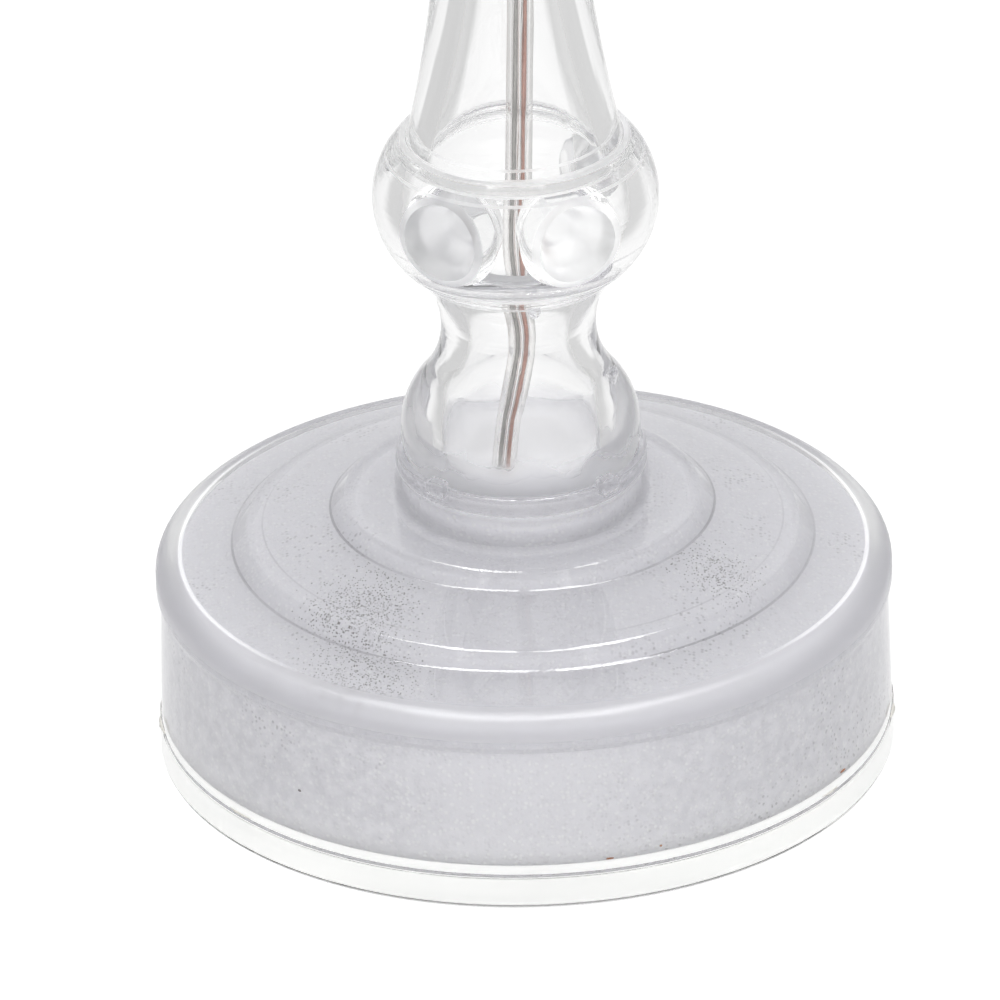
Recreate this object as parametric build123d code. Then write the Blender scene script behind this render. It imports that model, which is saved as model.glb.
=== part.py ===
from build123d import *
import math
import os

# Decorative battery lamp: a clear candlestick on a round stepped base, with a twin lead in its stem.
# Millimetres. Z is up, the lamp stands on Z = 0 and its stem stands on the Z axis. The front looks along -Y.
# The cells set the size of the base, and the stem's radii and heights follow one another from the base up.

# Fits
FACE_GAP = 0.03
SEAT_GAP = 0.15
RUN_GAP = 0.1
DOOR_GAP = 0.25
THREAD_GAP = 0.05
OVERRUN = 1.0
EDGE_ROUND = 0.4

# Bottom plate
PLATE_PROUD = 0.15
PLATE_EDGE = 3.5
PLATE_FLOOR = 1.8
PLATE_RECESS = 0.8
FOOT_WIDTH = 4.2
FOOT_ROUND = 0.5
RING_HEIGHT = 1.4
RING_WIDTH = 1.9
FINGER_R = 5.0
FINGER_DEPTH = 0.9

# Clear base shell: its steps run inwards and rise from the wall to the crown
SHELL_WALL = 2.2
WALL_DRAFT = 0.3
WALL_HEADROOM = 2.7
LIP_OUT = 0.45
LIP_SWELL = 0.7
LIP_ROUND = 0.8
LIP_HEIGHT = 3.1
SHOULDER_ROUND = 2.0
OUTER_RISE = 1.5
OUTER_STEP_IN = 8.95
OUTER_STEP_RUN = 1.5
OUTER_STEP_RISE = 1.6
MIDDLE_RISE = 2.2
INNER_LAND = 4.9
INNER_STEP_RUN = 1.5
INNER_STEP_RISE = 1.6
INNER_RISE = 0.2
STEP_ROUND = 0.5
CUP_WALL = 0.5
CUP_DRAFT = 0.4
CUP_RISE = 5.0
CUP_LIP_ROUND = 0.3
CORNER_IN_SHARE = 0.52
CORNER_DOWN_SHARE = 0.91
LUG_WIDTH = 2.2
LUG_RISE = 0.9
LUG_IN = 0.6
LUG_OUT = 0.9
LUG_TURN = 42.0

# Frosted liner
LINER_WALL = 1.2
LINER_GAP = 0.3

# Lower stem
BULB_R = 12.2
BULB_WALL = 3.7
BULB_FOOT_IN = 3.2
BULB_RISE = 5.7
SEAT_RISE = 1.4
TAIL_SHOULDER = 1.5
TAIL_WALL = 2.5
TAIL_DROP = 9.0
NECK_IN = 4.33
NECK_WALL = 2.97
NECK_RISE = 11.7
CREASE_OUT = 2.43
CREASE_RISE = 6.4
SPIGOT_SHOULDER = 1.7
SPIGOT_WALL = 1.8
SPIGOT_RISE = 2.0

# Stem knob and the tube that stands in it
KNOB_OUT = 4.2
KNOB_RISE = 8.0
KNOB_WALL = 2.6
KNOB_TOP_RISE = 6.8
KNOB_TOP_LIP = 0.3
TUBE_FOOT_IN = 3.2
TUBE_SEAT_DROP = 1.8
TUBE_LEDGE = 0.6
TUBE_FOOT_WALL = 2.7
TUBE_TOP_R = 7.0
TUBE_TOP_WALL = 3.9
TUBE_LENGTH = 36.4
TUBE_SPIGOT_RISE = 4.0

# Side pockets of the knob, turned about Z from the front towards +X
POCKET_TURNS = (-34.0, 26.0, 122.0)
POCKET_RISE = 0.4
POCKET_MOUTH_R = 4.5
POCKET_FLOOR_R = 2.0
POCKET_DEPTH = 5.2
POCKET_ROUND = 1.4
POCKET_WALL = 1.8

# Nut under the liner
NUT_WALL = 3.5
NUT_HEIGHT = 2.8
NUT_SLOT_WIDTH = 2.0
NUT_SLOT_DEPTH = 1.6
NUT_SLOTS = 6

# Upper knob
COLLAR_FOOT_LIP = 1.2
COLLAR_OUT = 3.8
COLLAR_RISE = 7.0
COLLAR_TOP_LIP = 0.8
COLLAR_TOP_RISE = 6.6
COLLAR_BORE_IN = 1.4

# Drip cup
HUB_WALL = 2.0
CUP_SPIGOT_DROP = 5.0
DISH_FLARE = 7.0
DISH_RIM_RISE = 5.6
DISH_LAND = 3.65
DISH_KNEE_RISE = 1.4
DISH_WALL = 1.8
DISH_FLOOR = 2.4
DISH_LIP = 1.6
DISH_ROUND = 3.0
RIM_ROUND = 0.6
SOCKET_WALL = 1.6
SOCKET_RISE = 3.2

# Candle sleeve, LED and flame
SLEEVE_R = 9.6
SLEEVE_WALL = 1.2
SLEEVE_HEIGHT = 44.0
SLEEVE_TOP = 2.2
SLEEVE_ROUND = 0.8
HOLDER_LIP = 1.2
HOLDER_DROP = 9.0
HOLDER_FLANGE = 1.4
HOLDER_GAP = 0.2
LED_R = 2.5
LED_HEIGHT = 6.1
LED_RIM_OUT = 0.4
LED_RIM = 1.0
LEG_SIZE = 0.5
LEG_SPREAD = 1.27
LEG_LENGTH = 19.0
FLAME_FOOT_IN = 2.4
FLAME_OUT = 1.1
FLAME_BULGE_RISE = 8.5
FLAME_NECK_IN = 3.7
FLAME_NECK_RISE = 22.0
FLAME_HEIGHT = 33.0
FLAME_TIP_R = 0.9
FLAME_TIP_DEPTH = 6.0
FLAME_WALL = 1.2

# Cells
CELL_R = 5.25
CELL_LENGTH = 44.5
CELL_NUB_R = 1.9
CELL_NUB = 1.2
CELL_GAP = 1.2
CELL_LIFT = 0.3
CELL_ROUND = 0.4

# Tray
TRAY_WALL = 1.2
TRAY_HEADROOM = 0.4
TRAY_SIDE_GAP = 0.4
TRAY_MARGIN = 1.5
RIB_DEPTH = 4.0
RIB_WIDTH = 0.7
BOSS_R = 2.6
BOSS_HEIGHT = 6.5
BOSS_ASIDE = 2.4
BOSS_SINK = 0.6
CONTACT_T = 0.4
CONTACT_WIDTH = 8.6
CONTACT_HEIGHT = 5.8
CONTACT_DROP = 2.0
CONTACT_GAP = 0.05
TAG_WIDTH = 2.4
TAG_RISE = 1.4
SPRING_WIRE_R = 0.25
SPRING_FOOT_R = 3.0
SPRING_LENGTH = 3.4
SPRING_TURNS = 3

# Screws
SCREW_R = 1.1
SCREW_HEAD_R = 2.1
SCREW_HEAD = 0.95
SCREW_LENGTH = 6.0
CROSS_SHARE = 0.6
CROSS_WIDTH_SHARE = 0.3
BOARD_SCREW_R = 0.9
BOARD_SCREW_HEAD_R = 1.7
BOARD_SCREW_HEAD = 0.9
BOARD_SCREW_LENGTH = 4.2

# Door
DOOR_T = 1.6
DOOR_CORNER = 2.0
TAB_WIDTH = 3.0
TAB_T = 1.1
TAB_REACH = 2.1
TAB_ROOT = 1.4
TAB_GAP = 0.05
TAB_SLOT_GAP = 0.3
TAB_SLOT_RISE = 1.0
LATCH_WIDTH = 8.0
LATCH_REACH = 3.2
LATCH_RISE = 3.4
LATCH_T = 1.0
LATCH_GAP = 0.45
GRIP_COUNT = 4
GRIP_WIDTH = 0.8
GRIP_DEPTH = 0.35
GRIP_PITCH = 1.7
GRIP_LENGTH = 12.0
PAD_T = 0.25
PAD_LENGTH = 30.0
PAD_WIDTH = 6.0

# Board and switch
BOARD_ASIDE = 1.65
BOARD_MARGIN = 0.35
BOARD_LENGTH = 20.0
BOARD_WIDTH = 11.0
BOARD_T = 1.0
POST_R = 1.9
POST_INSET = 2.2
SWITCH_LENGTH = 8.6
SWITCH_WIDTH = 3.6
SWITCH_HEIGHT = 3.5
SWITCH_WALL = 0.45
SHUTTLE_LENGTH = 4.0
SHUTTLE_HEIGHT = 1.2
SLIDER_WIDTH = 1.5
SLIDER_PROUD = 0.3
SLIDER_ROUND = 0.3
TRAVEL = 2.0
PIN_WIDTH = 0.5
PIN_T = 0.3
PIN_PITCH = 2.5
PIN_RISE = 2.1
CHIP_LENGTH = 2.9
CHIP_WIDTH = 1.6
CHIP_HEIGHT = 1.1
CHIP_LIFT = 0.1
CHIP_X = 4.6
CHIP_LEG = 0.4
CHIP_LEG_T = 0.15
CHIP_LEG_PITCH = 0.95
CHIP_LEGS = 3
CHIP_REACH = 0.7
RESISTOR_R = 0.85
RESISTOR_LENGTH = 3.4
RESISTOR_X = -4.2
RESISTOR_LEG_R = 0.22
RESISTOR_SPAN = 6.0
PARTS_BACK = 3.1

# Wires and the twin lead; its waves are places across the stem and heights above its seat
WIRE_R = 0.6
WIRE_BEND = 2.0
WIRE_LEAVE = 2.5
WIRE_LAND_INSET = 1.4
JACKET_R = 0.9
STRAND_R = 0.22
STRAND_OFFSET = 0.43
LEAD_X = -2.0
LEAD_AHEAD = 3.9
LEAD_LIFT = 2.2
LEAD_BEND = 3.6
LEAD_WAVE_BEND = 30.0
BEND_SHARE = 0.45
JACKET_STRIP = 1.5
LEAD_WAVES = (
    (-2.0, 0.2), (-0.7, 8.7), (0.5, 15.7), (-0.2, 25.7),
    (0.3, 34.2), (0.9, 54.2), (0.3, 70.2), (0.0, 86.2),
)
STRAND_SPLIT = 4.0
JOINT_R = 0.75
JOINT_LENGTH = 7.0
JOINT_DROP = 1.0

# The tray and the board, from the cells
PLATE_TOP = PLATE_RECESS + PLATE_FLOOR
CELL_PITCH = 2 * CELL_R + CELL_GAP
CELL_Z = PLATE_RECESS + DOOR_T + CELL_LIFT + CELL_R
CELL_SHIFT = SPRING_LENGTH / 2
CAVITY_X = CELL_LENGTH / 2 + CONTACT_T + CONTACT_GAP + CELL_SHIFT
CAVITY_Y = CELL_PITCH + CELL_R + TRAY_SIDE_GAP
CAVITY_TOP = CELL_Z + CELL_R + TRAY_HEADROOM
TRAY_TOP = CAVITY_TOP + TRAY_WALL
BOSS_X = BOARD_LENGTH / 2 + BOSS_R + BOSS_ASIDE
OPENING_X = CAVITY_X + SEAT_GAP
OPENING_Y = CAVITY_Y + SEAT_GAP
DOOR_X = OPENING_X - DOOR_GAP
DOOR_Y = OPENING_Y - DOOR_GAP
TAB_TOP = PLATE_TOP + TAB_GAP + TAB_T
SCREW_SEAT = PLATE_RECESS + SCREW_HEAD
BOARD_Y = CAVITY_Y + TRAY_WALL + BOARD_ASIDE + BOARD_WIDTH / 2
SWITCH_TOP = PLATE_TOP + SWITCH_HEIGHT
BOARD_TOP = SWITCH_TOP + BOARD_T
PARTS_Y = BOARD_Y - PARTS_BACK
POST_X = BOARD_LENGTH / 2 - POST_INSET
WIRE_LAND_X = BOARD_LENGTH / 2 - WIRE_LAND_INSET

# The base round them
TRAY_REACH = math.hypot(CAVITY_X + TRAY_WALL, CAVITY_Y + TRAY_WALL) + TRAY_MARGIN
BOARD_REACH = math.hypot(BOARD_LENGTH / 2, BOARD_Y + BOARD_WIDTH / 2) + BOARD_MARGIN
RING_R = max(TRAY_REACH, BOARD_REACH) + RING_WIDTH
WALL_FOOT_R = RING_R + SEAT_GAP + SHELL_WALL
PLATE_R = WALL_FOOT_R + PLATE_PROUD
WALL_TOP_R = WALL_FOOT_R - WALL_DRAFT
OUTER_STEP_R = WALL_TOP_R - OUTER_STEP_IN
CUP_R = BULB_R + CUP_WALL
CUP_FOOT_R = CUP_R + CUP_DRAFT
INNER_STEP_R = CUP_FOOT_R + INNER_LAND
SHELL_FOOT = PLATE_EDGE + FACE_GAP
LINER_FOOT = PLATE_EDGE + RING_HEIGHT
LINER_DEPTH = SHELL_WALL + LINER_GAP + LINER_WALL
WALL_TOP = TRAY_TOP + WALL_HEADROOM
SHOULDER_Z = WALL_TOP + LIP_SWELL + LIP_HEIGHT
OUTER_FOOT_Z = SHOULDER_Z + OUTER_RISE
OUTER_TOP_Z = OUTER_FOOT_Z + OUTER_STEP_RISE
INNER_FOOT_Z = OUTER_TOP_Z + MIDDLE_RISE
INNER_TOP_Z = INNER_FOOT_Z + INNER_STEP_RISE
CROWN_Z = INNER_TOP_Z + INNER_RISE
CUP_TOP_Z = CROWN_Z + CUP_RISE
LEAD_LAND_Y = BOARD_Y + LEAD_AHEAD
LEAD_RUN_Z = TRAY_TOP + LEAD_LIFT

# The stem, from its seat up
SEAT_Z = CROWN_Z + SEAT_RISE
BULB_Z = SEAT_Z + BULB_RISE
NECK_Z = BULB_Z + NECK_RISE
CREASE_Z = NECK_Z + CREASE_RISE
SPIGOT_TOP_Z = CREASE_Z + SPIGOT_RISE
KNOB_Z = CREASE_Z + KNOB_RISE
KNOB_TOP_Z = KNOB_Z + KNOB_TOP_RISE
POCKET_Z = KNOB_Z + POCKET_RISE
TUBE_FOOT_Z = KNOB_TOP_Z - TUBE_SEAT_DROP
TUBE_TOP_Z = TUBE_FOOT_Z + TUBE_LENGTH
BULB_FOOT_R = BULB_R - BULB_FOOT_IN
BULB_BORE_R = BULB_R - BULB_WALL
TAIL_R = BULB_FOOT_R - TAIL_SHOULDER
TAIL_BORE_R = TAIL_R - TAIL_WALL
NECK_R = BULB_R - NECK_IN
NECK_BORE_R = NECK_R - NECK_WALL
CREASE_R = NECK_R + CREASE_OUT
SPIGOT_R = CREASE_R - SPIGOT_SHOULDER
SPIGOT_BORE_R = SPIGOT_R - SPIGOT_WALL
KNOB_R = CREASE_R + KNOB_OUT
KNOB_BORE_R = KNOB_R - KNOB_WALL
TUBE_FOOT_R = KNOB_R - TUBE_FOOT_IN
TUBE_FOOT_BORE_R = TUBE_FOOT_R - TUBE_FOOT_WALL
TUBE_TOP_BORE_R = TUBE_TOP_R - TUBE_TOP_WALL
KNOB_TOP_R = TUBE_FOOT_R + KNOB_TOP_LIP
KNOB_LEDGE_R = TUBE_FOOT_R - TUBE_LEDGE
NUT_R = TAIL_R + NUT_WALL

# The candle, from the tube's top up
COLLAR_FOOT_R = TUBE_TOP_R + COLLAR_FOOT_LIP
COLLAR_R = TUBE_TOP_R + COLLAR_OUT
COLLAR_TOP_R = TUBE_TOP_R + COLLAR_TOP_LIP
COLLAR_BORE_R = TUBE_TOP_R - COLLAR_BORE_IN
COLLAR_TOP = TUBE_TOP_Z + COLLAR_RISE + COLLAR_TOP_RISE
HUB_BORE_R = COLLAR_BORE_R - HUB_WALL
DISH_FLOOR_Z = COLLAR_TOP + DISH_FLOOR
DISH_KNEE_R = SLEEVE_R + SEAT_GAP + SOCKET_WALL + DISH_LAND
DISH_R = DISH_KNEE_R + DISH_FLARE
SLEEVE_TOP_Z = DISH_FLOOR_Z + SLEEVE_HEIGHT
FLANGE_TOP = SLEEVE_TOP_Z + HOLDER_FLANGE
FLAME_FOOT_R = SLEEVE_R - FLAME_FOOT_IN
FLAME_R = FLAME_FOOT_R + FLAME_OUT
FLAME_NECK_R = FLAME_R - FLAME_NECK_IN
HOLDER_FLANGE_R = FLAME_FOOT_R - FLAME_WALL - HOLDER_GAP
HOLDER_R = HOLDER_FLANGE_R - HOLDER_LIP
LED_RIM_R = LED_R + LED_RIM_OUT
LED_BASE_Z = FLANGE_TOP - LED_RIM
LEG_FOOT_Z = LED_BASE_Z - LEG_LENGTH
JACKET_TOP_Z = LEG_FOOT_Z - STRAND_SPLIT


def at(radius, height):
    """A point of an outline in the XZ plane."""
    return Vector(radius, 0, height)


def joined(*points):
    """Straight edges from point to point."""
    return list(Polyline(*points).edges())


def swelling(low, high):
    """Two equal arcs between two points, upright at both ends, as on a turned baluster."""
    middle = (low + high) / 2
    return leaving(low, middle) + reaching(middle, high)


def leaving(low, high):
    """An arc that is upright at its lower point."""
    return [TangentArc(low, high, tangent=Vector(0, 0, 1))]


def reaching(low, high):
    """An arc that is upright at its upper point."""
    return [TangentArc(low, high, tangent=Vector(0, 0, -1), tangent_from_first=False)]


def turned(edges):
    """The solid of revolution about Z of a closed outline in the XZ plane."""
    return revolve(make_face(edges), Axis.Z)


def box(low, high):
    """A box from its lowest to its highest corner."""
    size = [b - a for a, b in zip(low, high)]
    centre = [(a + b) / 2 for a, b in zip(low, high)]
    return Pos(*centre) * Box(*size)


def post(radius, low, high, x=0, y=0):
    """An upright cylinder from its lowest to its highest level."""
    return Pos(x, y, (low + high) / 2) * Cylinder(radius, high - low)


def bend_radii(points, largest):
    """The bend of a wire at each inner point of its route, as large as its runs leave room for."""
    radii = []
    for before, corner, after in zip(points, points[1:], points[2:]):
        arriving = corner - before
        departing = after - corner
        half_turn = math.radians(arriving.get_angle(departing)) / 2
        reach = BEND_SHARE * min(arriving.length, departing.length)
        radii.append(min(largest, reach / math.tan(half_turn)))
    return radii


def route(points, largest):
    """A wire's route of straight runs joined by tangent arcs."""
    return FilletPolyline(*points, radius=bend_radii(points, largest))


def wire_along(path, section, across=None):
    """A section swept along a route; across is where the section's X points at its start."""
    return sweep(Plane(origin=path @ 0, x_dir=across, z_dir=path % 0) * section, path)


def dome(inset, foot):
    """The solid under the base's stepped top, drawn in by an inset."""
    into = CORNER_IN_SHARE * inset
    down = CORNER_DOWN_SHARE * inset
    wall_top = [
        at(WALL_TOP_R, WALL_TOP),
        at(WALL_TOP_R + LIP_OUT, WALL_TOP + LIP_SWELL),
        at(WALL_TOP_R + LIP_OUT, SHOULDER_Z),
    ]
    wall_rounds = [LIP_ROUND, LIP_ROUND, SHOULDER_ROUND]
    if inset:
        wall_top = [at(WALL_TOP_R - inset, SHOULDER_Z - down)]
        wall_rounds = [STEP_ROUND]
    points = [
        at(0, foot),
        at(WALL_FOOT_R - inset, foot),
        *wall_top,
        at(OUTER_STEP_R + OUTER_STEP_RUN - into, OUTER_FOOT_Z - down),
        at(OUTER_STEP_R - into, OUTER_TOP_Z - down),
        at(INNER_STEP_R + INNER_STEP_RUN - into, INNER_FOOT_Z - down),
        at(INNER_STEP_R - into, INNER_TOP_Z - down),
        at(0, CROWN_Z - inset),
    ]
    rounds = [0, 0, *wall_rounds, STEP_ROUND, STEP_ROUND, STEP_ROUND, STEP_ROUND, 0]
    return turned(FilletPolyline(*points, radius=rounds, close=True).edges())


def bulb_seat():
    """The space that the stem's bulb takes in the cup."""
    foot = SEAT_Z - FACE_GAP
    low = at(BULB_FOOT_R + SEAT_GAP, foot)
    high = at(BULB_R + SEAT_GAP, BULB_Z)
    return turned([
        *joined(high, at(0, BULB_Z), at(0, foot), low),
        *reaching(low, high),
    ])


def cup_lugs():
    """Small lugs on the cup's lip that hold the bulb."""
    lug = box(
        (CUP_R - LUG_IN, -LUG_WIDTH / 2, CUP_TOP_Z - LUG_RISE),
        (CUP_R + LUG_OUT, LUG_WIDTH / 2, CUP_TOP_Z + LUG_RISE),
    )
    lug = fillet(lug.edges(), EDGE_ROUND)
    turns = [side * turn for side in (-1, 1) for turn in (LUG_TURN, 180 - LUG_TURN)]
    return [Rot(0, 0, turn - 90) * lug for turn in turns]


def make_base_shell():
    """Clear outer shell: stepped top, upright wall with a rolled lip, and the stem's cup."""
    cup = [
        at(0, CROWN_Z - SHELL_WALL / 2),
        at(CUP_FOOT_R, CROWN_Z - SHELL_WALL / 2),
        at(CUP_R, CUP_TOP_Z),
        at(0, CUP_TOP_Z),
    ]
    shell = dome(0, SHELL_FOOT)
    shell += turned(FilletPolyline(*cup, radius=[0, 0, CUP_LIP_ROUND, 0], close=True).edges())
    shell -= dome(SHELL_WALL, SHELL_FOOT)
    shell += cup_lugs()
    shell -= bulb_seat()
    return shell - post(TAIL_R + SEAT_GAP, SHELL_FOOT, CUP_TOP_Z)


def make_frosted_liner():
    """Frosted inner cover, a little smaller than the shell all over."""
    outside = dome(SHELL_WALL + LINER_GAP, LINER_FOOT)
    inside = dome(LINER_DEPTH, LINER_FOOT)
    return outside - inside - post(TAIL_R + SEAT_GAP, LINER_FOOT, CUP_TOP_Z)


def plate_disc():
    """The bottom plate before its openings: foot ring, edge and the ring that centres the shell."""
    points = [
        at(0, PLATE_RECESS),
        at(PLATE_R - FOOT_WIDTH, PLATE_RECESS),
        at(PLATE_R - FOOT_WIDTH, 0),
        at(PLATE_R, 0),
        at(PLATE_R, PLATE_EDGE),
        at(RING_R, PLATE_EDGE),
        at(RING_R, LINER_FOOT),
        at(RING_R - RING_WIDTH, LINER_FOOT),
        at(RING_R - RING_WIDTH, PLATE_TOP),
        at(0, PLATE_TOP),
    ]
    rounds = [0, 0, 0, FOOT_ROUND, 0, 0, 0, 0, 0, 0]
    return turned(FilletPolyline(*points, radius=rounds, close=True).edges())


def boss_places():
    """Where the four tray screws stand."""
    boss_y = CAVITY_Y + TRAY_WALL + BOSS_R - BOSS_SINK
    return [(x, y) for x in (-BOSS_X, BOSS_X) for y in (-boss_y, boss_y)]


def make_bottom_plate():
    """Clear bottom plate with the battery opening, the switch slot and two board posts."""
    plate = plate_disc()
    for x in (-POST_X, POST_X):
        plate += post(POST_R, PLATE_TOP - PLATE_FLOOR / 2, SWITCH_TOP, x, BOARD_Y)
    opening = RectangleRounded(2 * OPENING_X, 2 * OPENING_Y, DOOR_CORNER + DOOR_GAP)
    plate -= Pos(0, 0, -OVERRUN) * extrude(opening, PLATE_TOP + 2 * OVERRUN)
    notch_y = LATCH_WIDTH / 2 + LATCH_GAP
    plate -= box(
        (-DOOR_X - LATCH_REACH - LATCH_GAP, -notch_y, -OVERRUN),
        (-OPENING_X + DOOR_GAP, notch_y, PLATE_TOP + OVERRUN),
    )
    finger_x = -DOOR_X - LATCH_REACH
    plate -= post(FINGER_R, -OVERRUN, PLATE_RECESS + FINGER_DEPTH, finger_x, 0)
    for x, y in boss_places():
        plate -= post(SCREW_R + RUN_GAP, -OVERRUN, PLATE_TOP + OVERRUN, x, y)
        plate -= post(SCREW_HEAD_R + SEAT_GAP, -OVERRUN, SCREW_SEAT, x, y)
    for x in (-POST_X, POST_X):
        plate -= post(BOARD_SCREW_R + THREAD_GAP, PLATE_TOP, SWITCH_TOP + OVERRUN, x, BOARD_Y)
    slot_x = (SLIDER_WIDTH + TRAVEL) / 2 + DOOR_GAP
    slot_y = SLIDER_WIDTH / 2 + DOOR_GAP
    plate -= box(
        (-slot_x, BOARD_Y - slot_y, -OVERRUN),
        (slot_x, BOARD_Y + slot_y, PLATE_TOP + OVERRUN),
    )
    return plate


def make_battery_tray():
    """Moulded well for three cells, open below, with screw bosses on its long sides."""
    tray = box(
        (-CAVITY_X - TRAY_WALL, -CAVITY_Y - TRAY_WALL, PLATE_TOP),
        (CAVITY_X + TRAY_WALL, CAVITY_Y + TRAY_WALL, TRAY_TOP),
    )
    tray = fillet(tray.edges().filter_by(Axis.Z), EDGE_ROUND)
    tray = fillet(tray.faces().sort_by(Axis.Z)[-1].edges(), EDGE_ROUND)
    for x, y in boss_places():
        tray += post(BOSS_R, PLATE_TOP, PLATE_TOP + BOSS_HEIGHT, x, y)
    tray -= box((-CAVITY_X, -CAVITY_Y, PLATE_TOP - OVERRUN), (CAVITY_X, CAVITY_Y, CAVITY_TOP))
    for side in (-1, 1):
        rib_y = side * CELL_PITCH / 2
        tray += box(
            (-CAVITY_X + SPRING_LENGTH, rib_y - RIB_WIDTH / 2, CAVITY_TOP - RIB_DEPTH),
            (CAVITY_X - SPRING_LENGTH, rib_y + RIB_WIDTH / 2, CAVITY_TOP + TRAY_WALL / 2),
        )
        tray -= box(
            (CAVITY_X - OVERRUN / 2, rib_y - TAB_WIDTH / 2 - TAB_SLOT_GAP, PLATE_TOP - OVERRUN),
            (
                CAVITY_X + TRAY_WALL + OVERRUN,
                rib_y + TAB_WIDTH / 2 + TAB_SLOT_GAP,
                TAB_TOP + TAB_SLOT_RISE,
            ),
        )
    for x, y in boss_places():
        tray -= post(SCREW_R + THREAD_GAP, PLATE_TOP - OVERRUN, PLATE_TOP + BOSS_HEIGHT + OVERRUN, x, y)
    for side in (-1, 1):
        tag_x = side * (CAVITY_X - CONTACT_GAP - CONTACT_T / 2)
        tag_y = -side * CELL_PITCH
        tray -= box(
            (tag_x - CONTACT_T / 2 - RUN_GAP, tag_y - TAG_WIDTH / 2 - RUN_GAP, CAVITY_TOP - OVERRUN / 2),
            (tag_x + CONTACT_T / 2 + RUN_GAP, tag_y + TAG_WIDTH / 2 + RUN_GAP, TRAY_TOP + OVERRUN),
        )
    return tray


def make_cell(row, way):
    """An AAA cell lying along X: its nub points to +X or -X by its way."""
    can = CELL_LENGTH - CELL_NUB
    outline = [
        *FilletPolyline(
            at(0, 0),
            at(CELL_R, 0),
            at(CELL_R, can),
            at(CELL_NUB_R, can),
            at(CELL_NUB_R, CELL_LENGTH),
            at(0, CELL_LENGTH),
            radius=[CELL_ROUND, CELL_ROUND, 0, CELL_ROUND],
        ).edges(),
        *joined(at(0, CELL_LENGTH), at(0, 0)),
    ]
    foot_x = way * (CELL_SHIFT - CELL_LENGTH / 2)
    return Plane(origin=(foot_x, row * CELL_PITCH, CELL_Z), z_dir=(way, 0, 0)) * turned(outline)


def contact_plate(side, row_low, row_high, tagged):
    """A stamped plate at one end of the tray, across one cell or two."""
    inner = CAVITY_X - CONTACT_GAP - CONTACT_T
    outer = CAVITY_X - CONTACT_GAP
    x_low, x_high = sorted((side * inner, side * outer))
    plate = box(
        (x_low, row_low * CELL_PITCH - CONTACT_WIDTH / 2, CELL_Z - CONTACT_DROP),
        (x_high, row_high * CELL_PITCH + CONTACT_WIDTH / 2, CELL_Z - CONTACT_DROP + CONTACT_HEIGHT),
    )
    plate = fillet(plate.edges().filter_by(Axis.X), EDGE_ROUND)
    if tagged:
        plate += box(
            (x_low, row_low * CELL_PITCH - TAG_WIDTH / 2, CELL_Z),
            (x_high, row_low * CELL_PITCH + TAG_WIDTH / 2, TRAY_TOP + TAG_RISE),
        )
    return plate


def make_spring(row, way):
    """A coil spring on the plate behind a cell's flat end."""
    pitch = (SPRING_LENGTH - 2 * SPRING_WIRE_R) / SPRING_TURNS
    coil = Helix(pitch, pitch * SPRING_TURNS, SPRING_FOOT_R)
    section = Plane(origin=coil @ 0, z_dir=coil % 0) * Circle(SPRING_WIRE_R)
    spring = sweep(section, coil, is_frenet=True)
    plate_x = -way * (CAVITY_X - CONTACT_GAP - CONTACT_T - SPRING_WIRE_R)
    return Plane(origin=(plate_x, row * CELL_PITCH, CELL_Z), z_dir=(way, 0, 0)) * spring


def together(*solids):
    """Several like solids as one piece."""
    return Compound(children=list(solids))


def pan_screw(radius, length, head_r, head):
    """A screw with its head's bearing face at Z = 0, its shank up and its head down."""
    screw = post(radius, 0, length) + post(head_r, -head, 0)
    screw = fillet(screw.faces().sort_by(Axis.Z)[0].edges(), head / 3)
    for turn in (0, 90):
        screw -= Rot(0, 0, turn) * box(
            (-head_r * CROSS_SHARE, -head * CROSS_WIDTH_SHARE, -head - OVERRUN),
            (head_r * CROSS_SHARE, head * CROSS_WIDTH_SHARE, -head / 2),
        )
    return screw


def make_tray_screws():
    """Four screws from below, through the bottom plate into the tray."""
    screw = pan_screw(SCREW_R, SCREW_LENGTH, SCREW_HEAD_R, SCREW_HEAD)
    return together(*[Pos(x, y, SCREW_SEAT) * screw for x, y in boss_places()])


def make_board_screws():
    """Two screws from above, through the board into its posts."""
    screw = pan_screw(BOARD_SCREW_R, BOARD_SCREW_LENGTH, BOARD_SCREW_HEAD_R, BOARD_SCREW_HEAD)
    screw = Rot(180, 0, 0) * screw
    return together(*[Pos(x, BOARD_Y, BOARD_TOP) * screw for x in (-POST_X, POST_X)])


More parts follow.
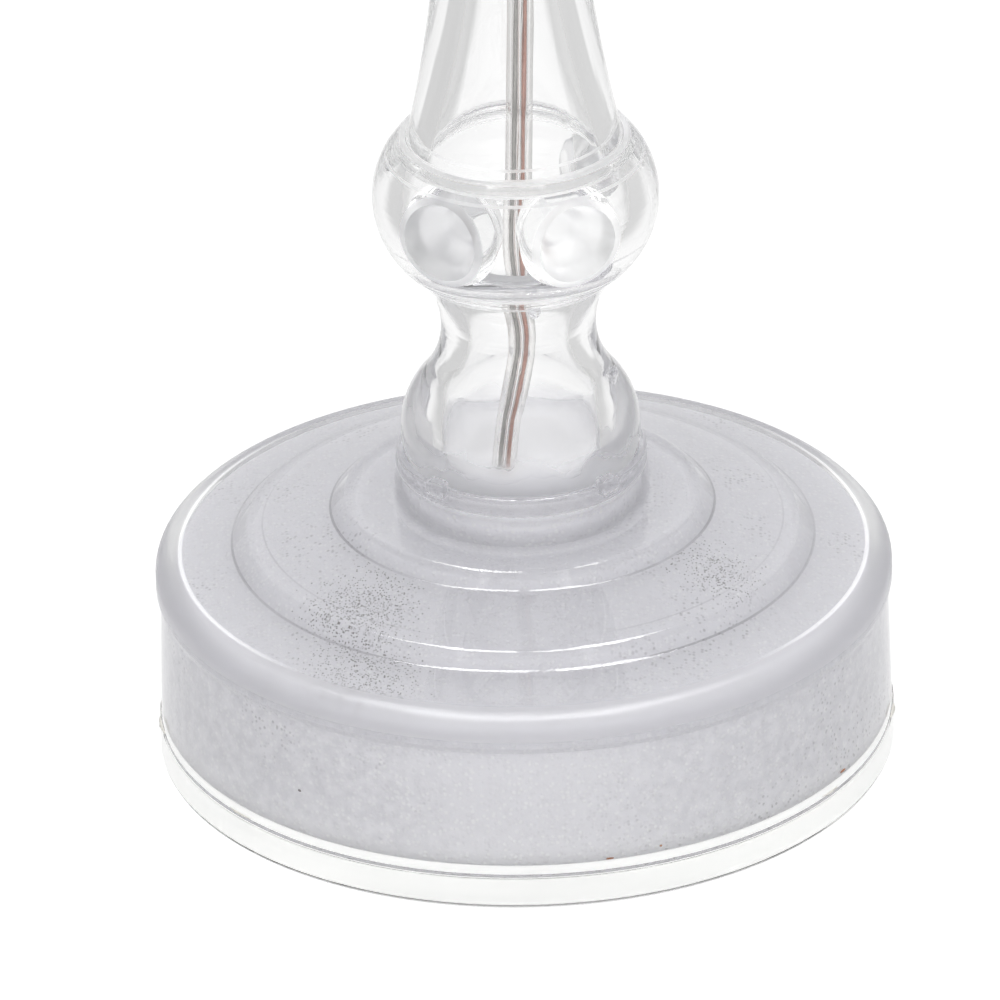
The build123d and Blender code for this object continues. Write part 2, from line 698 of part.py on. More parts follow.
def make_battery_door():
    """Snap door: two hook tabs on the right, a latch leg on the left and grip ridges."""
    door = Pos(0, 0, PLATE_RECESS) * extrude(
        RectangleRounded(2 * DOOR_X, 2 * DOOR_Y, DOOR_CORNER), DOOR_T
    )
    for side in (-1, 1):
        tab_y = side * CELL_PITCH / 2
        door += box(
            (DOOR_X - TAB_ROOT, tab_y - TAB_WIDTH / 2, PLATE_RECESS + DOOR_T / 2),
            (DOOR_X, tab_y + TAB_WIDTH / 2, TAB_TOP),
        )
        door += box(
            (DOOR_X - TAB_ROOT, tab_y - TAB_WIDTH / 2, PLATE_TOP + TAB_GAP),
            (DOOR_X + TAB_REACH, tab_y + TAB_WIDTH / 2, TAB_TOP),
        )
    leg_x = -DOOR_X - LATCH_REACH
    door += box(
        (leg_x, -LATCH_WIDTH / 2, PLATE_RECESS),
        (-DOOR_X + DOOR_CORNER, LATCH_WIDTH / 2, PLATE_RECESS + DOOR_T),
    )
    door += box(
        (leg_x, -LATCH_WIDTH / 2, PLATE_RECESS),
        (leg_x + LATCH_T, LATCH_WIDTH / 2, PLATE_RECESS + DOOR_T + LATCH_RISE),
    )
    for ridge in range(GRIP_COUNT):
        ridge_x = -DOOR_X + DOOR_CORNER + GRIP_PITCH * (ridge + 1)
        door -= box(
            (ridge_x - GRIP_WIDTH / 2, -GRIP_LENGTH / 2, PLATE_RECESS - OVERRUN),
            (ridge_x + GRIP_WIDTH / 2, GRIP_LENGTH / 2, PLATE_RECESS + GRIP_DEPTH),
        )
    return door


def make_door_pad():
    """Foam strip between the door and the middle cell."""
    low = PLATE_RECESS + DOOR_T
    return box((-PAD_LENGTH / 2, -PAD_WIDTH / 2, low), (PAD_LENGTH / 2, PAD_WIDTH / 2, low + PAD_T))


def make_circuit_board():
    """Driver board on the switch and its two posts."""
    board = box(
        (-BOARD_LENGTH / 2, BOARD_Y - BOARD_WIDTH / 2, SWITCH_TOP),
        (BOARD_LENGTH / 2, BOARD_Y + BOARD_WIDTH / 2, BOARD_TOP),
    )
    board = fillet(board.edges().filter_by(Axis.Z), EDGE_ROUND)
    holes = [(pin * PIN_PITCH, BOARD_Y, PIN_WIDTH) for pin in (-1, 0, 1)]
    holes += [(x, BOARD_Y, BOARD_SCREW_R + RUN_GAP) for x in (-POST_X, POST_X)]
    holes += [(LEAD_X + side * STRAND_OFFSET, LEAD_LAND_Y, STRAND_R + THREAD_GAP) for side in (-1, 1)]
    for x, y, radius in holes:
        board -= post(radius, SWITCH_TOP - OVERRUN, BOARD_TOP + OVERRUN, x, y)
    return board


def make_driver_chip():
    """Eight-legged driver chip on the board."""
    low = BOARD_TOP + CHIP_LIFT
    chip = box(
        (CHIP_X - CHIP_LENGTH / 2, PARTS_Y - CHIP_WIDTH / 2, low),
        (CHIP_X + CHIP_LENGTH / 2, PARTS_Y + CHIP_WIDTH / 2, low + CHIP_HEIGHT),
    )
    chip = chamfer(chip.faces().sort_by(Axis.Z)[-1].edges(), CHIP_LIFT)
    for leg in range(CHIP_LEGS):
        leg_x = CHIP_X + CHIP_LEG_PITCH * (leg - (CHIP_LEGS - 1) / 2)
        reach = CHIP_WIDTH / 2 + CHIP_REACH
        chip += box(
            (leg_x - CHIP_LEG / 2, PARTS_Y - reach, BOARD_TOP),
            (leg_x + CHIP_LEG / 2, PARTS_Y + reach, BOARD_TOP + CHIP_LEG_T),
        )
        chip += box(
            (leg_x - CHIP_LEG / 2, PARTS_Y - reach + CHIP_REACH / 2, BOARD_TOP),
            (leg_x + CHIP_LEG / 2, PARTS_Y + reach - CHIP_REACH / 2, low + CHIP_HEIGHT / 2),
        )
    return chip


def make_resistor():
    """Resistor that lies on the board on two bent legs."""
    axis_z = BOARD_TOP + RESISTOR_R + CHIP_LIFT
    body = Pos(RESISTOR_X, PARTS_Y, axis_z) * Rot(0, 90, 0) * Cylinder(RESISTOR_R, RESISTOR_LENGTH)
    body = fillet(body.edges(), EDGE_ROUND / 2)
    half = RESISTOR_SPAN / 2
    corners = [
        Vector(RESISTOR_X - half, PARTS_Y, BOARD_TOP),
        Vector(RESISTOR_X - half, PARTS_Y, axis_z),
        Vector(RESISTOR_X + half, PARTS_Y, axis_z),
        Vector(RESISTOR_X + half, PARTS_Y, BOARD_TOP),
    ]
    legs = FilletPolyline(*corners, radius=2 * RESISTOR_LEG_R)
    return body + wire_along(legs, Circle(RESISTOR_LEG_R))


def make_switch_body():
    """Slide switch housing with the room that its shuttle runs in."""
    body = box(
        (-SWITCH_LENGTH / 2, BOARD_Y - SWITCH_WIDTH / 2, PLATE_TOP),
        (SWITCH_LENGTH / 2, BOARD_Y + SWITCH_WIDTH / 2, SWITCH_TOP),
    )
    body = fillet(body.edges().filter_by(Axis.Z), EDGE_ROUND)
    room_x = (SHUTTLE_LENGTH + TRAVEL) / 2 + RUN_GAP
    room_y = SWITCH_WIDTH / 2 - SWITCH_WALL
    room_low = PLATE_TOP + SWITCH_WALL
    body -= box(
        (-room_x, BOARD_Y - room_y, room_low),
        (room_x, BOARD_Y + room_y, room_low + SHUTTLE_HEIGHT + 2 * RUN_GAP),
    )
    slot_x = (SLIDER_WIDTH + TRAVEL) / 2 + RUN_GAP
    slot_y = SLIDER_WIDTH / 2 + RUN_GAP
    body -= box(
        (-slot_x, BOARD_Y - slot_y, PLATE_TOP - OVERRUN),
        (slot_x, BOARD_Y + slot_y, room_low + OVERRUN / 2),
    )
    return body


def make_switch_slider():
    """The switch's shuttle and the knob that stands out below, at its off end."""
    centre_x = -TRAVEL / 2
    low = PLATE_TOP + SWITCH_WALL + RUN_GAP
    half_y = SWITCH_WIDTH / 2 - SWITCH_WALL - RUN_GAP
    shuttle = box(
        (centre_x - SHUTTLE_LENGTH / 2, BOARD_Y - half_y, low),
        (centre_x + SHUTTLE_LENGTH / 2, BOARD_Y + half_y, low + SHUTTLE_HEIGHT),
    )
    knob = box(
        (centre_x - SLIDER_WIDTH / 2, BOARD_Y - SLIDER_WIDTH / 2, PLATE_RECESS - SLIDER_PROUD),
        (centre_x + SLIDER_WIDTH / 2, BOARD_Y + SLIDER_WIDTH / 2, low + SHUTTLE_HEIGHT / 2),
    )
    knob = fillet(knob.faces().sort_by(Axis.Z)[0].edges(), SLIDER_ROUND)
    return shuttle + knob


def make_switch_terminals():
    """Three pins from the switch through the board."""
    pins = []
    for pin in (-1, 0, 1):
        x = pin * PIN_PITCH
        pins.append(box(
            (x - PIN_WIDTH / 2, BOARD_Y - PIN_T / 2, SWITCH_TOP),
            (x + PIN_WIDTH / 2, BOARD_Y + PIN_T / 2, SWITCH_TOP + PIN_RISE),
        ))
    return together(*pins)


def battery_wire(side):
    """Wire from a tag on the tray's roof to the board: side 1 is the red one, on the right."""
    level = TRAY_TOP + WIRE_R + RUN_GAP
    tag_x = side * (CAVITY_X - CONTACT_GAP - CONTACT_T)
    tag_y = -side * CELL_PITCH
    landing = side * WIRE_LAND_X
    points = [
        Vector(tag_x, tag_y, level),
        Vector(tag_x - side * WIRE_LEAVE, tag_y, level),
        Vector(landing, PARTS_Y, level),
        Vector(landing, PARTS_Y, BOARD_TOP),
    ]
    return wire_along(route(points, WIRE_BEND), Circle(WIRE_R))


def lead_points(shift, low):
    """The twin lead's route, from the board over the tray's roof and up the stem."""
    points = [
        Vector(LEAD_X + shift, LEAD_LAND_Y, low),
        Vector(LEAD_X + shift, LEAD_LAND_Y, LEAD_RUN_Z),
        Vector(LEAD_X + shift, 0, LEAD_RUN_Z),
    ]
    return points + [Vector(x + shift, 0, SEAT_Z + rise) for x, rise in LEAD_WAVES]


def lead_route(points):
    """The way of the lead or of one strand: tight bends below the stem, gentle waves in it."""
    radii = bend_radii(points, LEAD_WAVE_BEND)
    radii[:2] = [LEAD_BEND, LEAD_BEND]
    return FilletPolyline(*points, radius=radii)


def make_lead_jacket():
    """Clear figure-eight jacket round both strands."""
    points = lead_points(0, BOARD_TOP + JACKET_STRIP) + [Vector(0, 0, JACKET_TOP_Z)]
    lobes = [Pos(side * STRAND_OFFSET, 0) * Circle(JACKET_R) for side in (-1, 1)]
    bores = [Pos(side * STRAND_OFFSET, 0) * Circle(STRAND_R + THREAD_GAP) for side in (-1, 1)]
    section = Sketch() + lobes - bores
    return wire_along(lead_route(points), section, Vector(1, 0, 0))


def strand(side):
    """One strand of the twin lead, from the board's underside to its lamp leg."""
    shift = side * STRAND_OFFSET
    points = lead_points(shift, SWITCH_TOP) + [
        Vector(shift, 0, JACKET_TOP_Z + STRAND_SPLIT / 4),
        Vector(side * LEG_SPREAD, 0, LEG_FOOT_Z - STRAND_SPLIT / 4),
        Vector(side * LEG_SPREAD, 0, LEG_FOOT_Z),
    ]
    return wire_along(lead_route(points), Circle(STRAND_R))


def make_lower_stem():
    """Clear hollow bulb and neck, with a tail through the base and a spigot for the knob."""
    tail_foot = SEAT_Z - TAIL_DROP
    outside = [
        *joined(
            at(TAIL_BORE_R, tail_foot),
            at(TAIL_R, tail_foot),
            at(TAIL_R, SEAT_Z),
            at(BULB_FOOT_R, SEAT_Z),
        ),
        *reaching(at(BULB_FOOT_R, SEAT_Z), at(BULB_R, BULB_Z)),
        *swelling(at(BULB_R, BULB_Z), at(NECK_R, NECK_Z)),
        *leaving(at(NECK_R, NECK_Z), at(CREASE_R, CREASE_Z)),
        *joined(
            at(CREASE_R, CREASE_Z),
            at(SPIGOT_R, CREASE_Z),
            at(SPIGOT_R, SPIGOT_TOP_Z),
            at(SPIGOT_BORE_R, SPIGOT_TOP_Z),
        ),
    ]
    inside = [
        *leaving(at(NECK_BORE_R, NECK_Z), at(SPIGOT_BORE_R, SPIGOT_TOP_Z)),
        *swelling(at(BULB_BORE_R, BULB_Z), at(NECK_BORE_R, NECK_Z)),
        *reaching(at(TAIL_BORE_R, SEAT_Z), at(BULB_BORE_R, BULB_Z)),
        *joined(at(TAIL_BORE_R, SEAT_Z), at(TAIL_BORE_R, tail_foot)),
    ]
    return turned(outside + inside)


def tube_shape(gap=0, drop=0):
    """The outside of the upper tube, grown by a gap all round and by a drop at its foot."""
    foot = TUBE_FOOT_Z - drop
    low = at(TUBE_FOOT_R + gap, foot)
    high = at(TUBE_TOP_R + gap, TUBE_TOP_Z)
    top = TUBE_TOP_Z + TUBE_SPIGOT_RISE
    return turned([
        *joined(at(0, foot), low),
        *reaching(low, high),
        *joined(high, at(TUBE_TOP_R + gap, top), at(0, top), at(0, foot)),
    ])


def pocket(floor_r, mouth_r, depth, turn):
    """A round pocket plug that points at the stem's axis, with a rounded floor."""
    slope = (mouth_r - floor_r) / depth
    length = depth + OVERRUN
    plug = Pos(0, 0, length / 2) * Cone(floor_r, mouth_r + slope * OVERRUN, length)
    plug = fillet(plug.edges().sort_by(Axis.Z)[0], POCKET_ROUND)
    angle = math.radians(turn)
    way = Vector(math.sin(angle), -math.cos(angle), 0)
    return Plane(origin=way * (KNOB_R - depth) + Vector(0, 0, POCKET_Z), z_dir=way) * plug


def make_stem_knob():
    """Clear hollow knob with three side pockets, seated on the lower stem."""
    foot = CREASE_Z + FACE_GAP
    top = at(KNOB_TOP_R, KNOB_TOP_Z)
    outside = turned([
        *joined(at(0, KNOB_TOP_Z), at(0, foot), at(CREASE_R, foot)),
        *reaching(at(CREASE_R, foot), at(KNOB_R, KNOB_Z)),
        *leaving(at(KNOB_R, KNOB_Z), top),
        *joined(top, at(0, KNOB_TOP_Z)),
    ])
    mouth = SPIGOT_R + SEAT_GAP
    inside = turned([
        *joined(at(0, TUBE_FOOT_Z), at(0, CREASE_Z), at(mouth, CREASE_Z), at(mouth, SPIGOT_TOP_Z)),
        *reaching(at(mouth, SPIGOT_TOP_Z), at(KNOB_BORE_R, KNOB_Z)),
        *leaving(at(KNOB_BORE_R, KNOB_Z), at(KNOB_LEDGE_R, TUBE_FOOT_Z)),
        *joined(at(KNOB_LEDGE_R, TUBE_FOOT_Z), at(0, TUBE_FOOT_Z)),
    ])
    knob = outside - inside
    floor = POCKET_FLOOR_R + POCKET_WALL
    mouth = POCKET_MOUTH_R + POCKET_WALL
    for turn in POCKET_TURNS:
        knob += pocket(floor, mouth, POCKET_DEPTH + POCKET_WALL, turn) & outside
    for turn in POCKET_TURNS:
        knob -= pocket(POCKET_FLOOR_R, POCKET_MOUTH_R, POCKET_DEPTH, turn)
    return knob - tube_shape(SEAT_GAP, FACE_GAP)


def make_upper_stem():
    """Clear tapered tube between the two knobs."""
    low = at(TUBE_FOOT_BORE_R, TUBE_FOOT_Z)
    high = at(TUBE_TOP_BORE_R, TUBE_TOP_Z)
    top = TUBE_TOP_Z + TUBE_SPIGOT_RISE
    bore = turned([
        *joined(at(0, TUBE_FOOT_Z), low),
        *reaching(low, high),
        *joined(high, at(TUBE_TOP_BORE_R, top), at(0, top), at(0, TUBE_FOOT_Z)),
    ])
    return tube_shape() - bore


def make_upper_knob():
    """Clear collar that joins the tube and the drip cup."""
    middle_z = TUBE_TOP_Z + COLLAR_RISE
    seat = TUBE_TOP_R + SEAT_GAP
    seat_top = TUBE_TOP_Z + TUBE_SPIGOT_RISE + FACE_GAP
    top = COLLAR_TOP - FACE_GAP
    return turned([
        *joined(at(seat, TUBE_TOP_Z), at(COLLAR_FOOT_R, TUBE_TOP_Z)),
        *reaching(at(COLLAR_FOOT_R, TUBE_TOP_Z), at(COLLAR_R, middle_z)),
        *leaving(at(COLLAR_R, middle_z), at(COLLAR_TOP_R, top)),
        *joined(
            at(COLLAR_TOP_R, top),
            at(COLLAR_BORE_R, top),
            at(COLLAR_BORE_R, seat_top),
            at(seat, seat_top),
            at(seat, TUBE_TOP_Z),
        ),
    ])


def make_stem_nut():
    """Slotted ring nut under the liner."""
    low = CROWN_Z - LINER_DEPTH - NUT_HEIGHT
    nut = post(NUT_R, low, low + NUT_HEIGHT)
    nut = chamfer(nut.edges(), EDGE_ROUND)
    nut -= post(TAIL_R + THREAD_GAP, low - OVERRUN, low + NUT_HEIGHT + OVERRUN)
    slot = box(
        (NUT_R - NUT_SLOT_DEPTH, -NUT_SLOT_WIDTH / 2, low - OVERRUN),
        (NUT_R + OVERRUN, NUT_SLOT_WIDTH / 2, low + NUT_HEIGHT + OVERRUN),
    )
    return nut - [Rot(0, 0, 360 * turn / NUT_SLOTS) * slot for turn in range(NUT_SLOTS)]


def make_drip_cup():
    """Clear drip dish with a spigot below and the candle's socket above."""
    spigot_r = COLLAR_BORE_R - SEAT_GAP
    socket_in = SLEEVE_R + SEAT_GAP
    socket_out = socket_in + SOCKET_WALL
    rim_z = COLLAR_TOP + DISH_RIM_RISE
    points = [
        at(HUB_BORE_R, COLLAR_TOP - CUP_SPIGOT_DROP),
        at(spigot_r, COLLAR_TOP - CUP_SPIGOT_DROP),
        at(spigot_r, COLLAR_TOP),
        at(COLLAR_TOP_R, COLLAR_TOP),
        at(DISH_KNEE_R, COLLAR_TOP + DISH_KNEE_RISE),
        at(DISH_R, rim_z - DISH_LIP),
        at(DISH_R, rim_z),
        at(DISH_R - DISH_WALL, rim_z),
        at(DISH_R - DISH_WALL, rim_z - DISH_LIP),
        at(DISH_KNEE_R - DISH_WALL / 2, DISH_FLOOR_Z),
        at(socket_out, DISH_FLOOR_Z),
        at(socket_out, DISH_FLOOR_Z + SOCKET_RISE),
        at(socket_in, DISH_FLOOR_Z + SOCKET_RISE),
        at(socket_in, DISH_FLOOR_Z),
        at(HUB_BORE_R, DISH_FLOOR_Z),
    ]
    rim = [LIP_ROUND, RIM_ROUND, RIM_ROUND, LIP_ROUND]
    rounds = [0, 0, 0, 0, DISH_ROUND, *rim, DISH_ROUND, EDGE_ROUND, EDGE_ROUND, 0, 0, 0]
    return turned(FilletPolyline(*points, radius=rounds, close=True).edges())


def make_candle_sleeve():
    """Candle-shaped sleeve, closed above round the lamp's holder."""
    points = [
        at(SLEEVE_R - SLEEVE_WALL, DISH_FLOOR_Z),
        at(SLEEVE_R, DISH_FLOOR_Z),
        at(SLEEVE_R, SLEEVE_TOP_Z),
        at(HOLDER_R + SEAT_GAP, SLEEVE_TOP_Z),
        at(HOLDER_R + SEAT_GAP, SLEEVE_TOP_Z - SLEEVE_TOP),
        at(SLEEVE_R - SLEEVE_WALL, SLEEVE_TOP_Z - SLEEVE_TOP),
    ]
    return turned(FilletPolyline(*points, radius=[0, 0, SLEEVE_ROUND, 0, 0, 0], close=True).edges())


def make_led_holder():
    """Flanged plug that holds the lamp in the sleeve."""
    seat = LED_BASE_Z
    points = [
        at(LEG_SPREAD + LEG_SIZE + RUN_GAP, SLEEVE_TOP_Z - HOLDER_DROP),
        at(HOLDER_R, SLEEVE_TOP_Z - HOLDER_DROP),
        at(HOLDER_R, SLEEVE_TOP_Z),
        at(HOLDER_FLANGE_R, SLEEVE_TOP_Z),
        at(HOLDER_FLANGE_R, FLANGE_TOP),
        at(LED_RIM_R + RUN_GAP, FLANGE_TOP),
        at(LED_RIM_R + RUN_GAP, seat),
        at(LEG_SPREAD + LEG_SIZE + RUN_GAP, seat),
    ]
    return turned(joined(*points, points[0]))


def make_led_lens():
    """Round lamp with a rim and a domed top."""
    shoulder = LED_BASE_Z + LED_HEIGHT
    points = [
        at(0, LED_BASE_Z),
        at(LED_RIM_R, LED_BASE_Z),
        at(LED_RIM_R, LED_BASE_Z + LED_RIM),
        at(LED_R, LED_BASE_Z + LED_RIM),
        at(LED_R, shoulder),
    ]
    top = at(0, shoulder + LED_R)
    return turned([*joined(*points), *leaving(at(LED_R, shoulder), top), *joined(top, at(0, LED_BASE_Z))])


def make_led_legs():
    """The lamp's two square legs."""
    half = LEG_SIZE / 2
    legs = [
        box((side * LEG_SPREAD - half, -half, LEG_FOOT_Z), (side * LEG_SPREAD + half, half, LED_BASE_Z))
        for side in (-1, 1)
    ]
    return together(*legs)


def make_joint_sleeves():
    """Heat-shrink sleeves over the joints between strands and legs."""
    low = LEG_FOOT_Z - JOINT_DROP
    bore = math.hypot(LEG_SIZE / 2, LEG_SIZE / 2) + THREAD_GAP
    sleeves = [
        post(JOINT_R, low, low + JOINT_LENGTH, side * LEG_SPREAD)
        - post(bore, low - OVERRUN, low + JOINT_LENGTH + OVERRUN, side * LEG_SPREAD)
        for side in (-1, 1)
    ]
    return together(*sleeves)


def flame_side(inset, tip):
    """The edges of a flame's side from its foot to its tip, drawn in by an inset."""
    foot = at(FLAME_FOOT_R - inset, SLEEVE_TOP_Z)
    bulge = at(FLAME_R - inset, SLEEVE_TOP_Z + FLAME_BULGE_RISE)
    neck = at(FLAME_NECK_R - inset, SLEEVE_TOP_Z + FLAME_NECK_RISE)
    lower = reaching(foot, bulge) + leaving(bulge, neck)
    return lower + [TangentArc(neck, tip, tangent=lower[-1] % 1)]


def make_flame_cover():
    """Frosted hollow flame that stands on the candle sleeve."""
    tip = at(FLAME_TIP_R, SLEEVE_TOP_Z + FLAME_HEIGHT)
    cap = at(0, SLEEVE_TOP_Z + FLAME_HEIGHT + FLAME_TIP_R)
    inner_tip = at(FLAME_TIP_R, SLEEVE_TOP_Z + FLAME_HEIGHT - FLAME_TIP_DEPTH)
    inner_cap = at(0, inner_tip.Z)
    foot = at(FLAME_FOOT_R, SLEEVE_TOP_Z)
    inner_foot = at(FLAME_FOOT_R - FLAME_WALL, SLEEVE_TOP_Z)
    outside = [*flame_side(0, tip), *leaving(tip, cap)]
    inside = flame_side(FLAME_WALL, inner_tip)
    return turned([*joined(inner_foot, foot), *outside, *joined(cap, inner_cap, inner_tip), *inside])


def all_pieces():
    """Every piece of the lamp by its name."""
    return {
        "base_shell": make_base_shell(),
        "frosted_liner": make_frosted_liner(),
        "bottom_plate": make_bottom_plate(),
        "battery_tray": make_battery_tray(),
        "cell_front": make_cell(-1, 1),
        "cell_middle": make_cell(0, -1),
        "cell_back": make_cell(1, 1),
        "contact_plates_right": together(contact_plate(1, -1, -1, True), contact_plate(1, 0, 1, False)),
        "contact_plates_left": together(contact_plate(-1, -1, 0, False), contact_plate(-1, 1, 1, True)),
        "contact_springs": together(make_spring(-1, 1), make_spring(0, -1), make_spring(1, 1)),
        "tray_screws": make_tray_screws(),
        "battery_door": make_battery_door(),
        "door_pad": make_door_pad(),
        "circuit_board": make_circuit_board(),
        "driver_chip": make_driver_chip(),
        "resistor": make_resistor(),
        "board_screws": make_board_screws(),
        "switch_body": make_switch_body(),
        "switch_terminals": make_switch_terminals(),
        "switch_slider": make_switch_slider(),
        "battery_wire_red": battery_wire(1),
        "battery_wire_black": battery_wire(-1),
        "lead_jacket": make_lead_jacket(),
        "tinned_conductor": strand(-1),
        "copper_conductor": strand(1),
        "stem_nut": make_stem_nut(),
        "lower_stem": make_lower_stem(),
        "stem_knob": make_stem_knob(),
        "upper_stem": make_upper_stem(),
        "upper_knob": make_upper_knob(),
        "drip_cup": make_drip_cup(),
        "candle_sleeve": make_candle_sleeve(),
        "led_holder": make_led_holder(),
        "led_lens": make_led_lens(),
        "led_legs": make_led_legs(),
        "joint_sleeves": make_joint_sleeves(),
        "flame_cover": make_flame_cover(),
    }


os.makedirs("parts", exist_ok=True)
for name, piece in all_pieces().items():
    export_step(piece, f"parts/{name}.step")
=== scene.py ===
# %% [markdown]
# # A clear candlestick lamp, dressed for its picture
#
# The lamp is already modelled as solids: a stepped base, a turned hollow stem, a drip cup and a
# candle with a flame. This lesson gives those solids their looks. It sets up a white studio, makes
# clear, frosted, metal and painted finishes from nodes, and adds the small things that only show up
# close: fog in the stem's foot, drops of glue, specks in the frosted cover and slivers of moulding
# flash. Every cell prints what it made, so the lesson can be followed step by step.

import math

import bmesh
import bpy
from mathutils import Matrix, Vector, noise


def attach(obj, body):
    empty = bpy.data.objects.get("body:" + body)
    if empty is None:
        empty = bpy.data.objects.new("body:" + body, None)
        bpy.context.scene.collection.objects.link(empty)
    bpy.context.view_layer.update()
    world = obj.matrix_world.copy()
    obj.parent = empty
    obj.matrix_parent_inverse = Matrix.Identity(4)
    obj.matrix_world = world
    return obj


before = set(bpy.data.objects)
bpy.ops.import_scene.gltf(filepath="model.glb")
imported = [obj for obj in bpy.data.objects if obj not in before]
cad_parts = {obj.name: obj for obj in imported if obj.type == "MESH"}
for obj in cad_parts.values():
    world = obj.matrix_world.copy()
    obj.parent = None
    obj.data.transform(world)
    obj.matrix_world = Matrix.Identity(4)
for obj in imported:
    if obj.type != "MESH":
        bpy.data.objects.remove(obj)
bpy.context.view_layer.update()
MM = 0.001

# %% [markdown]
# ## The camera
#
# The picture was taken from far away with a long lens, because the ellipses of the base keep nearly
# the same shape from front to back. Such a lens is copied by a far camera with a large focal length,
# not by an orthographic camera, so that the slight narrowing to the back stays. The base's middle
# lies low in the picture, so the camera is aimed at a point above it and a little to its left.

# %% Camera
PICTURE_WIDTH = 102.35 * MM
PIXEL = PICTURE_WIDTH / 1000
FOOT_RIGHT = 27.5 * PIXEL
FOOT_DOWN = 232.5 * PIXEL
ELEVATION = math.radians(27.5)
ROLL = math.radians(-1.3)
DISTANCE = 1.8
SENSOR = 36.0

level = Matrix((
    (1, 0, 0),
    (0, math.sin(ELEVATION), -math.cos(ELEVATION)),
    (0, math.cos(ELEVATION), math.sin(ELEVATION)),
))
turned = level @ Matrix.Rotation(ROLL, 3, "Z")
right, up, back = turned.col
aim = FOOT_DOWN * up - FOOT_RIGHT * right
camera_data = bpy.data.cameras.new("camera")
camera_data.sensor_width = SENSOR
camera_data.lens = SENSOR * DISTANCE / PICTURE_WIDTH
camera_data.clip_end = 10 * DISTANCE
camera = bpy.data.objects.new("camera", camera_data)
camera.matrix_world = Matrix.Translation(aim + DISTANCE * back) @ turned.to_4x4()
bpy.context.scene.collection.objects.link(camera)
bpy.context.scene.camera = camera
bpy.context.scene.view_settings.view_transform = "Standard"
print("lens in millimetres:", round(camera_data.lens))

# %% [markdown]
# ## The white studio
#
# Clear plastic has hardly any colour of its own. What the eye sees is the room, bent by its walls and
# mirrored on its skin. So the room decides the look: white in front and behind, grey to the left and
# paler grey to the right, which gives the thick clear walls their grey bands. The walls bend a low
# look down to the table, so the table has the same greys at its sides. Two bright windows overhead,
# which only gloss sees, give the steps of the base their white glints, with a gap between them in
# the middle. Seen straight by the camera, everything round the lamp is plain white.

# %% Light paths
LIGHT_BOUNCES = 96
cycles = bpy.context.scene.cycles
cycles.max_bounces = LIGHT_BOUNCES
cycles.transmission_bounces = LIGHT_BOUNCES
cycles.glossy_bounces = LIGHT_BOUNCES
cycles.transparent_max_bounces = LIGHT_BOUNCES
print("light bounces:", cycles.max_bounces)

# %% World
def add_math(tree, operation, *values):
    """A Math node; a value is a number or a socket to link."""
    node = tree.nodes.new("ShaderNodeMath")
    node.operation = operation
    for socket, value in zip(node.inputs, values):
        if isinstance(value, (int, float)):
            socket.default_value = value
        else:
            tree.links.new(value, socket)
    return node.outputs[0]


def seen_directly(tree):
    """1 for rays that come straight from the camera, or by glass or gloss, and 0 for others."""
    path = tree.nodes.new("ShaderNodeLightPath")
    by_gloss = add_math(tree, "MAXIMUM", path.outputs["Is Glossy Ray"], path.outputs["Is Transmission Ray"])
    return path.outputs["Is Camera Ray"], by_gloss


def add_step(tree, value, low, high, to_low=0.0, to_high=1.0):
    """A smooth step from one value to another between two limits."""
    node = tree.nodes.new("ShaderNodeMapRange")
    node.interpolation_type = "SMOOTHSTEP"
    tree.links.new(value, node.inputs["Value"])
    for label, limit in zip(("From Min", "From Max", "To Min", "To Max"), (low, high, to_low, to_high)):
        node.inputs[label].default_value = limit
    return node.outputs["Result"]


def add_sides(tree, across, near, far):
    """The room's grey from left to right: pale within the near limit, grey beyond the far one."""
    left = add_step(tree, across, -far, -near, ROOM_LEFT, ROOM_BRIGHT)
    right = add_step(tree, across, near, far, ROOM_BRIGHT, ROOM_RIGHT)
    return add_math(tree, "MINIMUM", left, right)


SKY_LIGHT = 0.95
OVERHEAD = 1.42
FRONT = 1.6
ROOM_LEFT = 0.6
ROOM_RIGHT = 0.64
ROOM_BRIGHT = 1.0
WINDOW_GLOW = 15.0
world = bpy.data.worlds.new("white_studio")
world.use_nodes = True
bpy.context.scene.world = world
tree = world.node_tree
tree.nodes.clear()
direction = tree.nodes.new("ShaderNodeTexCoord").outputs["Generated"]
axes = tree.nodes.new("ShaderNodeSeparateXYZ")
tree.links.new(direction, axes.inputs[0])
sideways = add_math(tree, "ABSOLUTE", axes.outputs["X"])
endways = add_math(tree, "ABSOLUTE", axes.outputs["Y"])
overhead = add_step(tree, axes.outputs["Z"], 0.1, 0.6, 1.0, OVERHEAD)
front = add_step(tree, axes.outputs["Y"], -0.6, -0.1, FRONT - 1, 0.0)
low_front = add_math(tree, "MULTIPLY", front, add_step(tree, axes.outputs["Z"], 0.15, 0.4, 1.0, 0.0))
evenness = add_math(tree, "ADD", overhead, low_front)
room = add_math(tree, "MULTIPLY", add_sides(tree, axes.outputs["X"], 0.35, 0.8), evenness)
window = add_math(tree, "MULTIPLY", add_step(tree, sideways, 0.02, 0.05), add_step(tree, sideways, 0.36, 0.30))
window = add_math(tree, "MULTIPLY", window, add_step(tree, endways, 0.5, 0.3))
window = add_math(tree, "MULTIPLY", window, add_math(tree, "GREATER_THAN", axes.outputs["Z"], 0))
straight, by_glass = seen_directly(tree)
path = tree.nodes.new("ShaderNodeLightPath").outputs
mirrored = add_math(tree, "MULTIPLY", path["Is Glossy Ray"], path["Is Reflection Ray"])
glow = add_math(tree, "MULTIPLY", add_math(tree, "MULTIPLY", window, mirrored), WINDOW_GLOW)
lamp_light = tree.nodes.new("ShaderNodeMix")
tree.links.new(add_math(tree, "MULTIPLY", evenness, SKY_LIGHT), lamp_light.inputs["A"])
tree.links.new(by_glass, lamp_light.inputs["Factor"])
